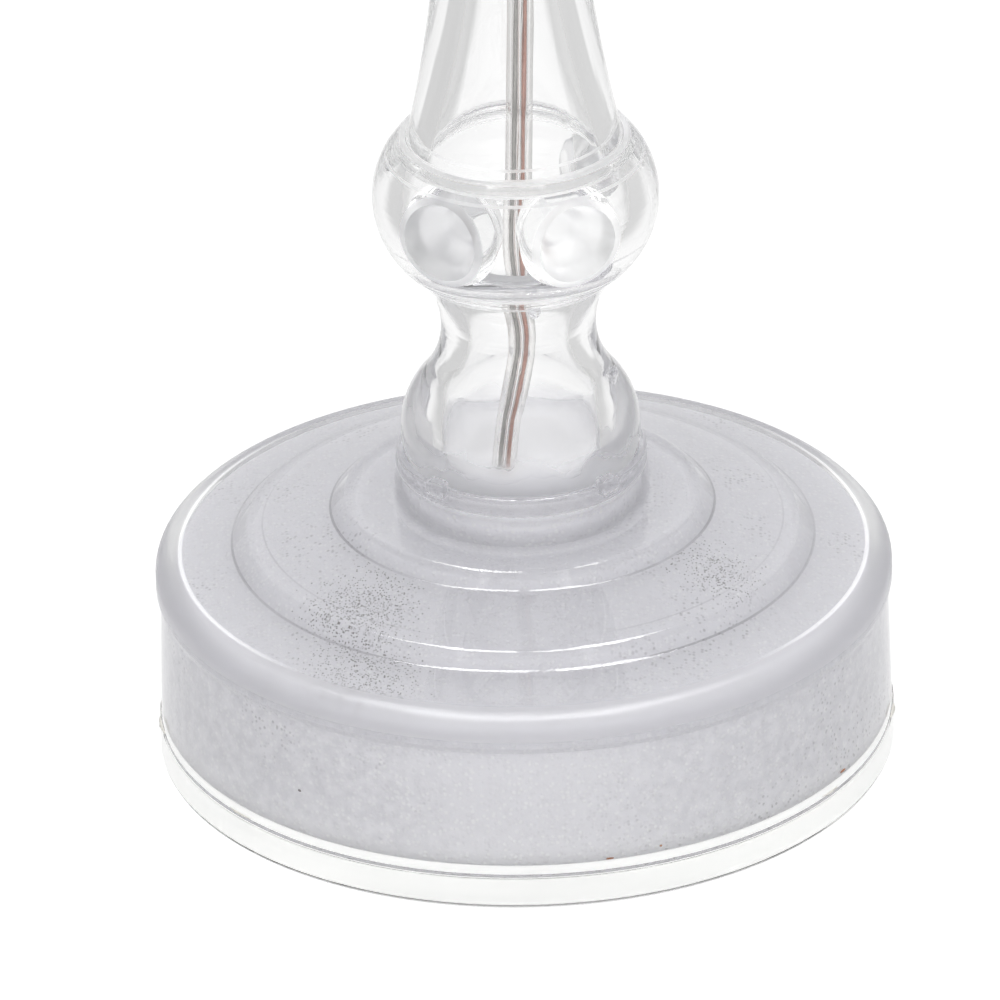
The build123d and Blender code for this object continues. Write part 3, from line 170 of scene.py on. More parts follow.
tree.links.new(add_math(tree, "ADD", room, glow), lamp_light.inputs["B"])
strength = tree.nodes.new("ShaderNodeMix")
strength.inputs["B"].default_value = 1.0
tree.links.new(straight, strength.inputs["Factor"])
tree.links.new(lamp_light.outputs["Result"], strength.inputs["A"])
sky = tree.nodes.new("ShaderNodeBackground")
sky.inputs["Color"].default_value = (1, 1, 1, 1)
tree.links.new(strength.outputs["Result"], sky.inputs["Strength"])
tree.links.new(sky.outputs[0], tree.nodes.new("ShaderNodeOutputWorld").inputs["Surface"])
print("light of the sky:", SKY_LIGHT, "greys of the room:", ROOM_LEFT, ROOM_BRIGHT, ROOM_RIGHT)

# %% Floor
FLOOR_HALF = 3.0
FLOOR_DROP = 0.05 * MM
FLOOR_WHITE = 0.9
FLOOR_GLOW = 1.1
SHADOW_SHARE = 0.12
WHITE_HALF = 55 * MM
GREY_FROM = 95 * MM


def floor_material():
    """White where it is seen, with a trace of the lamp's shadow, grey at the sides in glass, clear from below."""
    material = bpy.data.materials.new("white_floor")
    material.use_nodes = True
    tree = material.node_tree
    tree.nodes.clear()
    straight, by_gloss = seen_directly(tree)
    diffuse = tree.nodes.new("ShaderNodeBsdfDiffuse")
    diffuse.inputs["Color"].default_value = (FLOOR_WHITE, FLOOR_WHITE, FLOOR_WHITE, 1)
    glow = tree.nodes.new("ShaderNodeEmission")
    place = tree.nodes.new("ShaderNodeSeparateXYZ")
    tree.links.new(tree.nodes.new("ShaderNodeTexCoord").outputs["Object"], place.inputs[0])
    sides = add_sides(tree, place.outputs["X"], WHITE_HALF, GREY_FROM)
    front = add_step(tree, place.outputs["Y"], -GREY_FROM, -WHITE_HALF / 2, FRONT, 1.0)
    in_glass = add_math(tree, "MULTIPLY", sides, front)
    at_camera = tree.nodes.new("ShaderNodeMix")
    at_camera.inputs["B"].default_value = FLOOR_GLOW
    tree.links.new(straight, at_camera.inputs["Factor"])
    tree.links.new(in_glass, at_camera.inputs["A"])
    tree.links.new(at_camera.outputs["Result"], glow.inputs["Strength"])
    seen = add_math(tree, "MAXIMUM", straight, by_gloss)
    share = add_math(tree, "MULTIPLY", seen, 1 - SHADOW_SHARE)
    mix = tree.nodes.new("ShaderNodeMixShader")
    tree.links.new(share, mix.inputs[0])
    tree.links.new(diffuse.outputs[0], mix.inputs[1])
    tree.links.new(glow.outputs[0], mix.inputs[2])
    one_way = tree.nodes.new("ShaderNodeMixShader")
    tree.links.new(tree.nodes.new("ShaderNodeNewGeometry").outputs["Backfacing"], one_way.inputs[0])
    tree.links.new(mix.outputs[0], one_way.inputs[1])
    tree.links.new(tree.nodes.new("ShaderNodeBsdfTransparent").outputs[0], one_way.inputs[2])
    tree.links.new(one_way.outputs[0], tree.nodes.new("ShaderNodeOutputMaterial").inputs["Surface"])
    return material


floor_mesh = bpy.data.meshes.new("floor")
corners = [(x * FLOOR_HALF, y * FLOOR_HALF, -FLOOR_DROP) for x, y in ((-1, -1), (1, -1), (1, 1), (-1, 1))]
floor_mesh.from_pydata(corners, [], [(0, 1, 2, 3)])
floor_mesh.materials.append(floor_material())
floor = bpy.data.objects.new("floor", floor_mesh)
bpy.context.scene.collection.objects.link(floor)
print("floor:", 2 * FLOOR_HALF, "m square")

# %% Lamps
BOX_HEIGHT = 0.75
BOX_FRONT = 0.3
BOX_SIDE = 0.16
BOX_SIZE = (0.22, 0.4)
BOX_POWER = 0.1


def soft_box(name, x):
    """A rectangular lamp above the front that looks at the lamp's base."""
    data = bpy.data.lights.new(name, "AREA")
    data.shape = "RECTANGLE"
    data.size, data.size_y = BOX_SIZE
    data.energy = BOX_POWER
    light = bpy.data.objects.new(name, data)
    place = Vector((x, -BOX_FRONT, BOX_HEIGHT))
    light.matrix_world = Matrix.Translation(place) @ place.to_track_quat("Z", "Y").to_matrix().to_4x4()
    light.visible_glossy = False
    bpy.context.scene.collection.objects.link(light)
    return light


boxes = [soft_box("box_left", -BOX_SIDE), soft_box("box_right", BOX_SIDE)]
print("soft boxes:", [box.name for box in boxes])

# %% [markdown]
# ## Effects that several finishes share
#
# A moulded surface is never quite even: its gloss changes in soft patches, and fine dust and
# scratches sit on it. These effects are node groups, so each material places the same group with
# values of its own. A group only gives out colours, masks and heights; the shader itself stays in
# the material.

# %% Node groups
def new_group(name, inputs, outputs):
    """A shader node group with named float inputs and outputs; returns it with its two end nodes."""
    group = bpy.data.node_groups.new(name, "ShaderNodeTree")
    for label, value in inputs.items():
        socket = group.interface.new_socket(label, in_out="INPUT", socket_type="NodeSocketFloat")
        socket.default_value = value
    for label in outputs:
        group.interface.new_socket(label, in_out="OUTPUT", socket_type="NodeSocketFloat")
    return group, group.nodes.new("NodeGroupInput"), group.nodes.new("NodeGroupOutput")


def add_noise(tree, scale, detail):
    """A noise over the object's own coordinates; scale is a number or a socket."""
    node = tree.nodes.new("ShaderNodeTexNoise")
    tree.links.new(tree.nodes.new("ShaderNodeTexCoord").outputs["Object"], node.inputs["Vector"])
    node.inputs["Detail"].default_value = detail
    if isinstance(scale, (int, float)):
        node.inputs["Scale"].default_value = scale
    else:
        tree.links.new(scale, node.inputs["Scale"])
    return node.outputs["Fac"]


def add_range(tree, value, low, high, to_low, to_high):
    """A Map Range node; its limits are numbers or sockets."""
    node = tree.nodes.new("ShaderNodeMapRange")
    tree.links.new(value, node.inputs["Value"])
    for label, limit in zip(("From Min", "From Max", "To Min", "To Max"), (low, high, to_low, to_high)):
        if isinstance(limit, (int, float)):
            node.inputs[label].default_value = limit
        else:
            tree.links.new(limit, node.inputs[label])
    return node.outputs["Result"]


def make_patches():
    """Gloss that changes in soft patches between two values, and a fine height."""
    group, start, end = new_group(
        "soft_patches", {"Scale": 60.0, "Low": 0.1, "High": 0.2}, ("Value", "Height")
    )
    wide = add_noise(group, start.outputs["Scale"], 3.0)
    value = add_range(group, wide, 0.35, 0.65, start.outputs["Low"], start.outputs["High"])
    group.links.new(value, end.inputs["Value"])
    fine = add_noise(group, add_math(group, "MULTIPLY", start.outputs["Scale"], 7.0), 2.0)
    group.links.new(fine, end.inputs["Height"])
    return group


def make_grain():
    """Round grains of one size: a mask that is 1 in the grains that pass a threshold."""
    group, start, end = new_group("grains", {"Scale": 900.0, "Share": 0.2}, ("Mask", "Height"))
    cells = group.nodes.new("ShaderNodeTexVoronoi")
    coordinates = group.nodes.new("ShaderNodeTexCoord").outputs["Object"]
    group.links.new(coordinates, cells.inputs["Vector"])
    group.links.new(start.outputs["Scale"], cells.inputs["Scale"])
    chance = group.nodes.new("ShaderNodeSeparateColor")
    group.links.new(cells.outputs["Color"], chance.inputs[0])
    chosen = add_math(group, "LESS_THAN", chance.outputs[0], start.outputs["Share"])
    body = add_range(group, cells.outputs["Distance"], 0.25, 0.5, 1.0, 0.0)
    group.links.new(add_math(group, "MULTIPLY", chosen, body), end.inputs["Mask"])
    group.links.new(body, end.inputs["Height"])
    return group


def make_scratches():
    """Long thin lines along one direction, as on drawn or brushed metal."""
    group, start, end = new_group("brushed_lines", {"Scale": 400.0, "Stretch": 20.0}, ("Value",))
    coordinates = group.nodes.new("ShaderNodeTexCoord").outputs["Object"]
    squeeze = group.nodes.new("ShaderNodeCombineXYZ")
    group.links.new(start.outputs["Scale"], squeeze.inputs["X"])
    group.links.new(start.outputs["Scale"], squeeze.inputs["Y"])
    along = add_math(group, "DIVIDE", start.outputs["Scale"], start.outputs["Stretch"])
    group.links.new(along, squeeze.inputs["Z"])
    scaled = group.nodes.new("ShaderNodeVectorMath")
    scaled.operation = "MULTIPLY"
    group.links.new(coordinates, scaled.inputs[0])
    group.links.new(squeeze.outputs[0], scaled.inputs[1])
    lines = group.nodes.new("ShaderNodeTexNoise")
    lines.inputs["Scale"].default_value = 1.0
    group.links.new(scaled.outputs[0], lines.inputs["Vector"])
    group.links.new(lines.outputs["Fac"], end.inputs["Value"])
    return group


PATCHES = make_patches()
GRAINS = make_grain()
LINES = make_scratches()
print("node groups:", [group.name for group in (PATCHES, GRAINS, LINES)])

# %% Helpers for materials
def new_material(name):
    """A material with a Principled shader on its output; returns material, tree and shader."""
    material = bpy.data.materials.new(name)
    material.use_nodes = True
    tree = material.node_tree
    tree.nodes.clear()
    shader = tree.nodes.new("ShaderNodeBsdfPrincipled")
    output = tree.nodes.new("ShaderNodeOutputMaterial")
    tree.links.new(shader.outputs[0], output.inputs["Surface"])
    return material, tree, shader


def place_group(tree, group, **values):
    """The group in a material, with its named values."""
    node = tree.nodes.new("ShaderNodeGroup")
    node.node_tree = group
    for label, value in values.items():
        node.inputs[label].default_value = value
    return node


def add_bump(tree, height, shader, distance, strength=1.0):
    """A height on the shader's normal, in metres."""
    bump = tree.nodes.new("ShaderNodeBump")
    bump.inputs["Distance"].default_value = distance
    bump.inputs["Strength"].default_value = strength
    tree.links.new(height, bump.inputs["Height"])
    tree.links.new(bump.outputs[0], shader.inputs["Normal"])


def mix_colours(tree, mask, dark, pale):
    """A colour between dark and pale by a mask."""
    mix = tree.nodes.new("ShaderNodeMix")
    mix.data_type = "RGBA"
    mix.inputs["A"].default_value = (*dark, 1)
    mix.inputs["B"].default_value = (*pale, 1)
    tree.links.new(mask, mix.inputs["Factor"])
    return mix.outputs["Result"]


def dress(material, *nodes):
    """Give a CAD node's object this material."""
    for node in nodes:
        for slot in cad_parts[node].material_slots:
            slot.material = material


print("helpers ready")

# %% [markdown]
# ## Clear plastic
#
# Base, stem and cup are clear polystyrene. A Principled shader with full transmission bends light as
# the real walls do, because the solids have true inner surfaces. The plastic also takes up a little
# light on the way: light that runs long inside a wall, as it does at the edges, comes out darker, and
# that draws the soft grey outlines. A Volume Absorption shader does this by the length of the way.
# Lamps would be shut out by such glass, so for shadow rays the material is a pale tint.

# %% Clear plastic
PLASTIC_IOR = 1.49
SHADOW_TINT = (0.985, 0.985, 0.99, 1)
SMOKE = (0.5, 0.51, 0.5, 1)
SMOKE_DENSITY = 10.0
# Each pocket: its turn, its roughness, its painted glow and its share of grey painted shade.
POCKETS = ((-34.0, 0.5, 0.0, 1.0), (26.0, 0.5, 0.12, 0.0), (122.0, 0.35, 0.0, 1.0))
POCKET_Z = 62.0 * MM
POCKET_FLOOR = 9.3 * MM
POCKET_SLOPE = 0.48
POCKET_SOFT = 0.5 * MM
JOINT_LEVELS = (53.6 * MM, 55.6 * MM, 66.6 * MM, 68.4 * MM)
JOINT_REACH = 0.15 * MM
JOINT_FROST = 0.5
# Painted light: a faint glow at the joints and in the clouded foot.
JOINT_PAINTED_GLOW = 0.09
CLOUD_TOP = 35.5 * MM
CLOUD_SOFT = 1.6 * MM
CLOUD_ROUGH = 0.55
CLOUD_PAINTED_GLOW = 0.03
CLOUD_TINT = (0.81, 0.81, 0.83)
RIM_FROM = 33.8 * MM
RIM_ROUGH = 0.38
RIM_INSIDE = 20.4 * MM
# Painted highlight: a faint white glow in a thin ring on the rim.
PAINTED_HIGHLIGHT_RADIUS = 35.0 * MM
PAINTED_HIGHLIGHT_SHARE = 0.3
# Painted shade in the step corners: each line's radius, the height above which it shows, its width and its share.
RING_SHADE_LINES = ((29.65, 22.2, 0.16, 1.0), (26.5, 24.0, 0.12, 0.45), (19.55, 26.0, 0.16, 1.0))
SHADE_AND_SEAM_GREY = (0.42, 0.41, 0.43)
SEAM_Z = 4.9 * MM


def let_lamps_through(tree, shader):
    """Shadow rays pass the material as through a pale film."""
    film = tree.nodes.new("ShaderNodeBsdfTransparent")
    film.inputs["Color"].default_value = SHADOW_TINT
    mix = tree.nodes.new("ShaderNodeMixShader")
    tree.links.new(tree.nodes.new("ShaderNodeLightPath").outputs["Is Shadow Ray"], mix.inputs[0])
    tree.links.new(shader.outputs[0], mix.inputs[1])
    tree.links.new(film.outputs[0], mix.inputs[2])
    output = next(node for node in tree.nodes if node.type == "OUTPUT_MATERIAL")
    tree.links.new(mix.outputs[0], output.inputs["Surface"])


def add_vector(tree, operation, first, second):
    """A Vector Math node with a linked first value and a fixed second one; returns the node."""
    node = tree.nodes.new("ShaderNodeVectorMath")
    node.operation = operation
    tree.links.new(first, node.inputs[0])
    node.inputs[1].default_value = second
    return node


def pocket_mask(tree, place, turn):
    """1 on the walls of the side pocket at this turn, 0 elsewhere."""
    angle = math.radians(turn)
    way = Vector((math.sin(angle), -math.cos(angle), 0))
    along = add_vector(tree, "DOT_PRODUCT", place, way).outputs["Value"]
    offset = add_vector(tree, "SUBTRACT", place, (0, 0, POCKET_Z))
    aside = add_vector(tree, "CROSS_PRODUCT", offset.outputs["Vector"], way)
    length = add_vector(tree, "LENGTH", aside.outputs["Vector"], (0, 0, 0)).outputs["Value"]
    depth = add_math(tree, "SUBTRACT", along, POCKET_FLOOR)
    limit = add_math(tree, "ADD", add_math(tree, "MULTIPLY", depth, POCKET_SLOPE), 2.2 * MM)
    near = add_step(tree, add_math(tree, "SUBTRACT", length, limit), POCKET_SOFT, 2 * POCKET_SOFT, 1.0, 0.0)
    return add_math(tree, "MULTIPLY", near, add_math(tree, "GREATER_THAN", depth, -POCKET_SOFT))


def cover(tree, total, mask, share):
    """The larger of a mask so far and a share of another one."""
    return add_math(tree, "MAXIMUM", total, add_math(tree, "MULTIPLY", mask, share))


def frost_mask(tree):
    """How rough the stem's skin is in its pockets, joints and foot; these places also get a faint painted glow, the
    left and back pockets a grey painted shade, and the foot a grey tint.
    """
    place = tree.nodes.new("ShaderNodeTexCoord").outputs["Object"]
    height = tree.nodes.new("ShaderNodeSeparateXYZ")
    tree.links.new(place, height.inputs[0])
    frost, painted_glow_mask, grey = 0.0, 0.0, 0.0
    for turn, rough, painted_glow, share in POCKETS:
        mask = pocket_mask(tree, place, turn)
        frost, painted_glow_mask = cover(tree, frost, mask, rough), cover(tree, painted_glow_mask, mask, painted_glow)
        grey = cover(tree, grey, mask, share)
    for level in JOINT_LEVELS:
        mask = add_math(tree, "COMPARE", height.outputs["Z"], level, JOINT_REACH)
        frost, painted_glow_mask = cover(tree, frost, mask, JOINT_FROST), cover(tree, painted_glow_mask, mask, JOINT_PAINTED_GLOW)
    push = add_range(tree, add_noise(tree, 160.0, 3.0), 0.3, 0.7, -CLOUD_SOFT, CLOUD_SOFT)
    level = add_math(tree, "ADD", height.outputs["Z"], push)
    cloud = add_step(tree, level, CLOUD_TOP - CLOUD_SOFT, CLOUD_TOP + CLOUD_SOFT, 1.0, 0.0)
    frost, painted_glow_mask = cover(tree, frost, cloud, CLOUD_ROUGH), cover(tree, painted_glow_mask, cloud, CLOUD_PAINTED_GLOW)
    shader = next(node for node in tree.nodes if node.type == "BSDF_PRINCIPLED")
    clear = tuple(shader.inputs["Base Color"].default_value)[:3]
    # Painted shade: the left and back pockets are tinted grey; the clouded foot takes the cloud tint.
    tint = mix_colours(tree, cover(tree, grey, cloud, 1.0), clear, CLOUD_TINT)
    tree.links.new(tint, shader.inputs["Base Color"])
    # Painted light: the pockets, joints and clouded foot glow faintly.
    tree.links.new(mix_colours(tree, painted_glow_mask, (0, 0, 0), (1, 1, 1)), shader.inputs["Emission Color"])
    shader.inputs["Emission Strength"].default_value = 1.0
    return frost


def rim_mask(tree):
    """How rough the base's skin is along its rim, where the glint is soft."""
    place = tree.nodes.new("ShaderNodeTexCoord").outputs["Object"]
    height = tree.nodes.new("ShaderNodeSeparateXYZ")
    tree.links.new(place, height.inputs[0])
    flat = add_vector(tree, "MULTIPLY", place, (1, 1, 0))
    radius = add_vector(tree, "LENGTH", flat.outputs["Vector"], (0, 0, 0)).outputs["Value"]
    inside = add_math(tree, "LESS_THAN", height.outputs["Z"], RIM_INSIDE)
    rim = add_step(tree, radius, RIM_FROM, RIM_FROM + 2 * MM)
    rim = cover(tree, rim, add_math(tree, "MULTIPLY", inside, add_math(tree, "GREATER_THAN", radius, 31 * MM)), 1.0)
    rim = add_math(tree, "MULTIPLY", rim, add_step(tree, height.outputs["Z"], 17.0 * MM, 20.0 * MM))
    return add_math(tree, "MULTIPLY", rim, RIM_ROUGH)


def draw_rings(material):
    """Painted shade as thin grey lines in the corners of the steps, which fade out towards the front, a grey seam line,
    and a painted highlight as a faint white glow along the rim.
    """
    tree = material.node_tree
    shader = next(node for node in tree.nodes if node.type == "BSDF_PRINCIPLED")
    place = tree.nodes.new("ShaderNodeTexCoord").outputs["Object"]
    axes = tree.nodes.new("ShaderNodeSeparateXYZ")
    tree.links.new(place, axes.inputs[0])
    flat = add_vector(tree, "MULTIPLY", place, (1, 1, 0)).outputs["Vector"]
    radius = add_vector(tree, "LENGTH", flat, (0, 0, 0)).outputs["Value"]
    aside = add_math(tree, "DIVIDE", add_math(tree, "ABSOLUTE", axes.outputs["X"]), radius)
    shade_and_seam = 0.0
    # Painted shade: grey lines in the step corners, only towards the sides.
    for ring, level, wide, share in RING_SHADE_LINES:
        off = add_math(tree, "ABSOLUTE", add_math(tree, "SUBTRACT", radius, ring * MM))
        near = add_step(tree, off, wide * MM / 2, wide * MM, share, 0.0)
        above = add_math(tree, "GREATER_THAN", axes.outputs["Z"], level * MM)
        shade_and_seam = add_math(tree, "MAXIMUM", shade_and_seam, add_math(tree, "MULTIPLY", near, above))
    patchy = add_range(tree, add_noise(tree, 45.0, 2.0), 0.35, 0.6, 0.35, 1.0)
    shade_and_seam = add_math(tree, "MULTIPLY", shade_and_seam, patchy)
    shade_and_seam = add_math(tree, "MULTIPLY", shade_and_seam, add_step(tree, aside, 0.15, 0.55))
    seam = add_math(tree, "ABSOLUTE", add_math(tree, "SUBTRACT", axes.outputs["Z"], SEAM_Z))
    shade_and_seam = add_math(tree, "MAXIMUM", shade_and_seam, add_step(tree, seam, 0.05 * MM, 0.1 * MM, 0.75, 0.0))
    clear = tuple(shader.inputs["Base Color"].default_value)[:3]
    tree.links.new(mix_colours(tree, shade_and_seam, clear, SHADE_AND_SEAM_GREY), shader.inputs["Base Color"])
    # Painted highlight: a thin white glow near the rim, at the sides, above the rim's inside.
    white = add_math(tree, "ABSOLUTE", add_math(tree, "SUBTRACT", radius, PAINTED_HIGHLIGHT_RADIUS))
    white = add_step(tree, white, 0.12 * MM, 0.3 * MM, PAINTED_HIGHLIGHT_SHARE, 0.0)
    white = add_math(tree, "MULTIPLY", white, add_step(tree, aside, 0.6, 0.9))
    white = add_math(tree, "MULTIPLY", white, add_math(tree, "GREATER_THAN", axes.outputs["Z"], RIM_INSIDE))
    tree.links.new(mix_colours(tree, white, (0, 0, 0), (1, 1, 1)), shader.inputs["Emission Color"])
    shader.inputs["Emission Strength"].default_value = 1.0


def clear_plastic(name, colour, gloss, ripple, frost=None):
    """Clear moulded plastic with slightly uneven gloss and a faint ripple of the mould."""
    material, tree, shader = new_material(name)
    shader.inputs["Base Color"].default_value = (*colour, 1)
    shader.inputs["Transmission Weight"].default_value = 1.0
    shader.inputs["IOR"].default_value = PLASTIC_IOR
    gloss_node = place_group(tree, PATCHES, Scale=90.0, Low=gloss[0], High=gloss[1])
    roughness = gloss_node.outputs["Value"]
    if frost:
        roughness = add_math(tree, "MAXIMUM", roughness, frost(tree))
    tree.links.new(roughness, shader.inputs["Roughness"])
    add_bump(tree, add_noise(tree, 55.0, 1.0), shader, ripple)
    let_lamps_through(tree, shader)
    smoke = tree.nodes.new("ShaderNodeVolumeAbsorption")
    smoke.inputs["Color"].default_value = SMOKE
    smoke.inputs["Density"].default_value = SMOKE_DENSITY
    output = next(node for node in tree.nodes if node.type == "OUTPUT_MATERIAL")
    tree.links.new(smoke.outputs[0], output.inputs["Volume"])
    return material


shell_clear = clear_plastic("clear_base", (0.99, 0.99, 0.995), (0.0, 0.04), 0.04 * MM, rim_mask)
draw_rings(shell_clear)
stem_clear = clear_plastic("clear_stem", (0.99, 0.99, 0.99), (0.0, 0.03), 0.06 * MM, frost_mask)
for material in (shell_clear, stem_clear):
    material.cycles.emission_sampling = "NONE"
dress(shell_clear, "base_shell", "bottom_plate")
dress(stem_clear, "lower_stem", "stem_knob", "upper_stem", "upper_knob", "drip_cup")
print("clear pieces dressed")

# %% [markdown]
# ## The frosted cover
#
# Under the clear shell sits a second cover with a rough, grainy skin. It is pale grey with a breath
# of lilac, it shines softly, and some grains are dark. Grains are cells of a Voronoi texture; a wide
# noise decides where the dark ones gather. Its top is darkened by painted shade, a pale painted
# highlight line runs near the rim, and round the cup it has a faint painted glow.

# %% Frosted cover
# Painted shade: the top of the cover is darker than its wall.
TOP_PAINTED_SHADE = (0.87, 0.87, 0.88)
MOTTLE = 0.7
COVER_HIGHLIGHT_RADIUS = 35.4 * MM
CUP_PAINTED_GLOW = 0.12


def frosted_cover():
    """Pale lilac grey with fine grains and dark specks that gather in places, painted shade on the top, a painted
    highlight line and a painted glow round the cup.
    """
    material, tree, shader = new_material("frosted_cover")
    fine = place_group(tree, GRAINS, Scale=1900.0, Share=0.5)
    coarse = place_group(tree, GRAINS, Scale=2400.0, Share=0.3)
    axes = tree.nodes.new("ShaderNodeSeparateXYZ")
    tree.links.new(tree.nodes.new("ShaderNodeTexCoord").outputs["Object"], axes.inputs[0])
    aside = add_step(tree, add_math(tree, "ABSOLUTE", axes.outputs["X"]), 4 * MM, 16 * MM, 0.15, 1.0)
    gather = add_range(tree, add_noise(tree, 90.0, 5.0), 0.46, 0.62, 0.0, 1.0)
    specks = add_math(tree, "MULTIPLY", coarse.outputs["Mask"], add_math(tree, "MULTIPLY", gather, aside))
    pale = mix_colours(tree, fine.outputs["Mask"], (0.86, 0.855, 0.89), (0.92, 0.92, 0.94))
    darken = tree.nodes.new("ShaderNodeMix")
    darken.data_type = "RGBA"
    darken.inputs["B"].default_value = (0.33, 0.32, 0.34, 1)
    flat = add_vector(tree, "MULTIPLY", tree.nodes.new("ShaderNodeTexCoord").outputs["Object"], (1, 1, 0))
    radius = add_vector(tree, "LENGTH", flat.outputs["Vector"], (0, 0, 0)).outputs["Value"]
    # Painted shade: the cover's top, away from the cup, is darker, with a random mottle.
    upper = add_step(tree, axes.outputs["Z"], 15.0 * MM, 19.5 * MM)
    upper = add_math(tree, "MULTIPLY", upper, add_step(tree, radius, 13.0 * MM, 14.0 * MM))
    mottled = add_range(tree, add_noise(tree, 800.0, 5.0), 0.38, 0.62, 0.0, 1.0)
    upper = add_math(tree, "ADD", upper, add_math(tree, "MULTIPLY", add_math(tree, "MULTIPLY", mottled, aside), MOTTLE))
    # Painted highlight: a pale line near the rim, at the sides.
    edge = add_math(tree, "ABSOLUTE", add_math(tree, "SUBTRACT", radius, COVER_HIGHLIGHT_RADIUS))
    edge = add_math(tree, "MULTIPLY", add_step(tree, edge, 0.12 * MM, 0.22 * MM, 1.0, 0.0), aside)
    upper = add_math(tree, "SUBTRACT", upper, add_math(tree, "MULTIPLY", edge, 1.6))
    toned = mix_colours(tree, upper, (1, 1, 1), TOP_PAINTED_SHADE)
    tone = tree.nodes.new("ShaderNodeMix")
    tone.data_type = "RGBA"
    tone.blend_type = "MULTIPLY"
    tone.inputs["Factor"].default_value = 1.0
    tree.links.new(pale, tone.inputs["A"])
    tree.links.new(toned, tone.inputs["B"])
    tree.links.new(tone.outputs["Result"], darken.inputs["A"])
    tree.links.new(add_math(tree, "MULTIPLY", specks, 0.5), darken.inputs["Factor"])
    tree.links.new(darken.outputs["Result"], shader.inputs["Base Color"])
    shader.inputs["Roughness"].default_value = 0.55
    shader.inputs["Subsurface Weight"].default_value = 0.0
    # Painted light: the cover glows faintly round the cup.
    painted_glow = add_step(tree, axes.outputs["Z"], 27.0 * MM, 28.5 * MM, 0.0, CUP_PAINTED_GLOW)
    tree.links.new(mix_colours(tree, painted_glow, (0, 0, 0), (1, 1, 1)), shader.inputs["Emission Color"])
    shader.inputs["Emission Strength"].default_value = 1.0
    material.cycles.emission_sampling = "NONE"
    add_bump(tree, fine.outputs["Height"], shader, 0.05 * MM)
    return material


FROST = frosted_cover()
dress(FROST, "frosted_liner")
print("frosted cover dressed")

# %% [markdown]
# ## The frost on the shell's inside
#
# The cover lies flat against the clear shell. Seen through the thick wall it is magnified, so that
# the frosted grey fills the base up to its outline. An air gap between the two would mirror at the
# rim and spoil that. So a thin frosted coat is laid in the shell's inner skin: the shell's own inner
# faces are copied, cut off above the clear foot, and moved a hair into the plastic.

# %% Frost coat
COAT_FOOT = 3.7 * MM
COAT_SINK = 0.06 * MM
COAT_THICK = 0.03 * MM
CUP_REACH = 13.3 * MM
SEAT_REACH = 12.6 * MM
SEAT_TOP = 30.6 * MM
MERGE = 0.0001 * MM


def inner_skin(node, foot, reach, seat, seat_top):
    """A merged copy of the faces of a shell that look inwards or down, above a level, and its seat."""
    mesh = bmesh.new()
    mesh.from_mesh(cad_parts[node].data)
    bmesh.ops.remove_doubles(mesh, verts=mesh.verts, dist=MERGE)
    everything = mesh.verts[:] + mesh.edges[:] + mesh.faces[:]
    bmesh.ops.bisect_plane(mesh, geom=everything, plane_co=(0, 0, foot), plane_no=(0, 0, 1), clear_inner=True)
    mesh.normal_update()
    outside = []
    for face in mesh.faces:
        centre = face.calc_center_median()
        outward = Vector((centre.x, centre.y, 0)).normalized()
        looks_in = centre.xy.length > reach and face.normal.dot(outward) < -0.3
        in_seat = centre.xy.length < seat and centre.z < seat_top
        if not looks_in and face.normal.z > -0.3 and not in_seat:
            outside.append(face)
    bmesh.ops.delete(mesh, geom=outside, context="FACES")
    return mesh


def sink_and_thicken(mesh, sink, thickness):
    """Move a skin against its normals, then make it a thin closed sheet."""
    mesh.normal_update()
    moves = [(vert, -sink * vert.normal) for vert in mesh.verts]
    for vert, move in moves:
        vert.co += move
    bmesh.ops.solidify(mesh, geom=mesh.faces[:], thickness=thickness)
    bmesh.ops.recalc_face_normals(mesh, faces=mesh.faces)


def as_piece(name, mesh, material, body):
    """A smooth object from a bmesh, riding on a body, with its finish in a material slot."""
    data = bpy.data.meshes.new(name)
    mesh.to_mesh(data)
    mesh.free()
    data.materials.append(material)
    data.shade_smooth()
    piece = bpy.data.objects.new(name, data)
    bpy.context.scene.collection.objects.link(piece)
    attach(piece, body)
    print(name, "faces:", len(data.polygons))
    return piece


coat_mesh = inner_skin("base_shell", COAT_FOOT, CUP_REACH, SEAT_REACH, SEAT_TOP)
sink_and_thicken(coat_mesh, COAT_SINK, COAT_THICK)
coat = as_piece("frost_coat", coat_mesh, FROST, "base")

# %% Foot bands
# Painted light: two thin white bands on the clear foot stand in for the light its edge gathers.
FOOT_BANDS = (
    ("foot_band_low", ((37.05, 0.35), (37.1, 0.6), (37.1, 3.1), (37.05, 3.3))),
    ("foot_band_high", ((36.95, 3.75), (37.0, 3.85), (37.0, 4.7), (36.95, 4.8))),
)
BAND_THICK = 0.05 * MM
BAND_PAINTED_GLOW = 0.3


def lathe(profile, steps):
    """A bmesh turned about Z from (radius, height) pairs, open at both ends."""
    mesh = bmesh.new()
    rings = []
    for radius, height in profile:
        angles = [math.tau * step / steps for step in range(steps)]
        rings.append([mesh.verts.new((radius * math.cos(a), radius * math.sin(a), height)) for a in angles])
    for lower, upper in zip(rings, rings[1:]):
        for step in range(steps):
            after = (step + 1) % steps
            mesh.faces.new((lower[step], lower[after], upper[after], upper[step]))
    return mesh


def band_material():
    """Painted light: nearly white and glowing faintly, for the light that the clear foot's edge gathers, with faint
    lines that run round the foot.
    """
    material, tree, shader = new_material("foot_painted_light")
    lines = place_group(tree, LINES, Scale=60.0, Stretch=0.03)
    tree.links.new(
        mix_colours(tree, lines.outputs["Value"], (0.8, 0.81, 0.8), (1.0, 1.0, 0.99)), shader.inputs["Base Color"]
    )
    shader.inputs["Roughness"].default_value = 0.6
    # Painted light: a faint glow.
    shader.inputs["Emission Color"].default_value = (1, 1, 0.985, 1)
    shader.inputs["Emission Strength"].default_value = BAND_PAINTED_GLOW
    return material


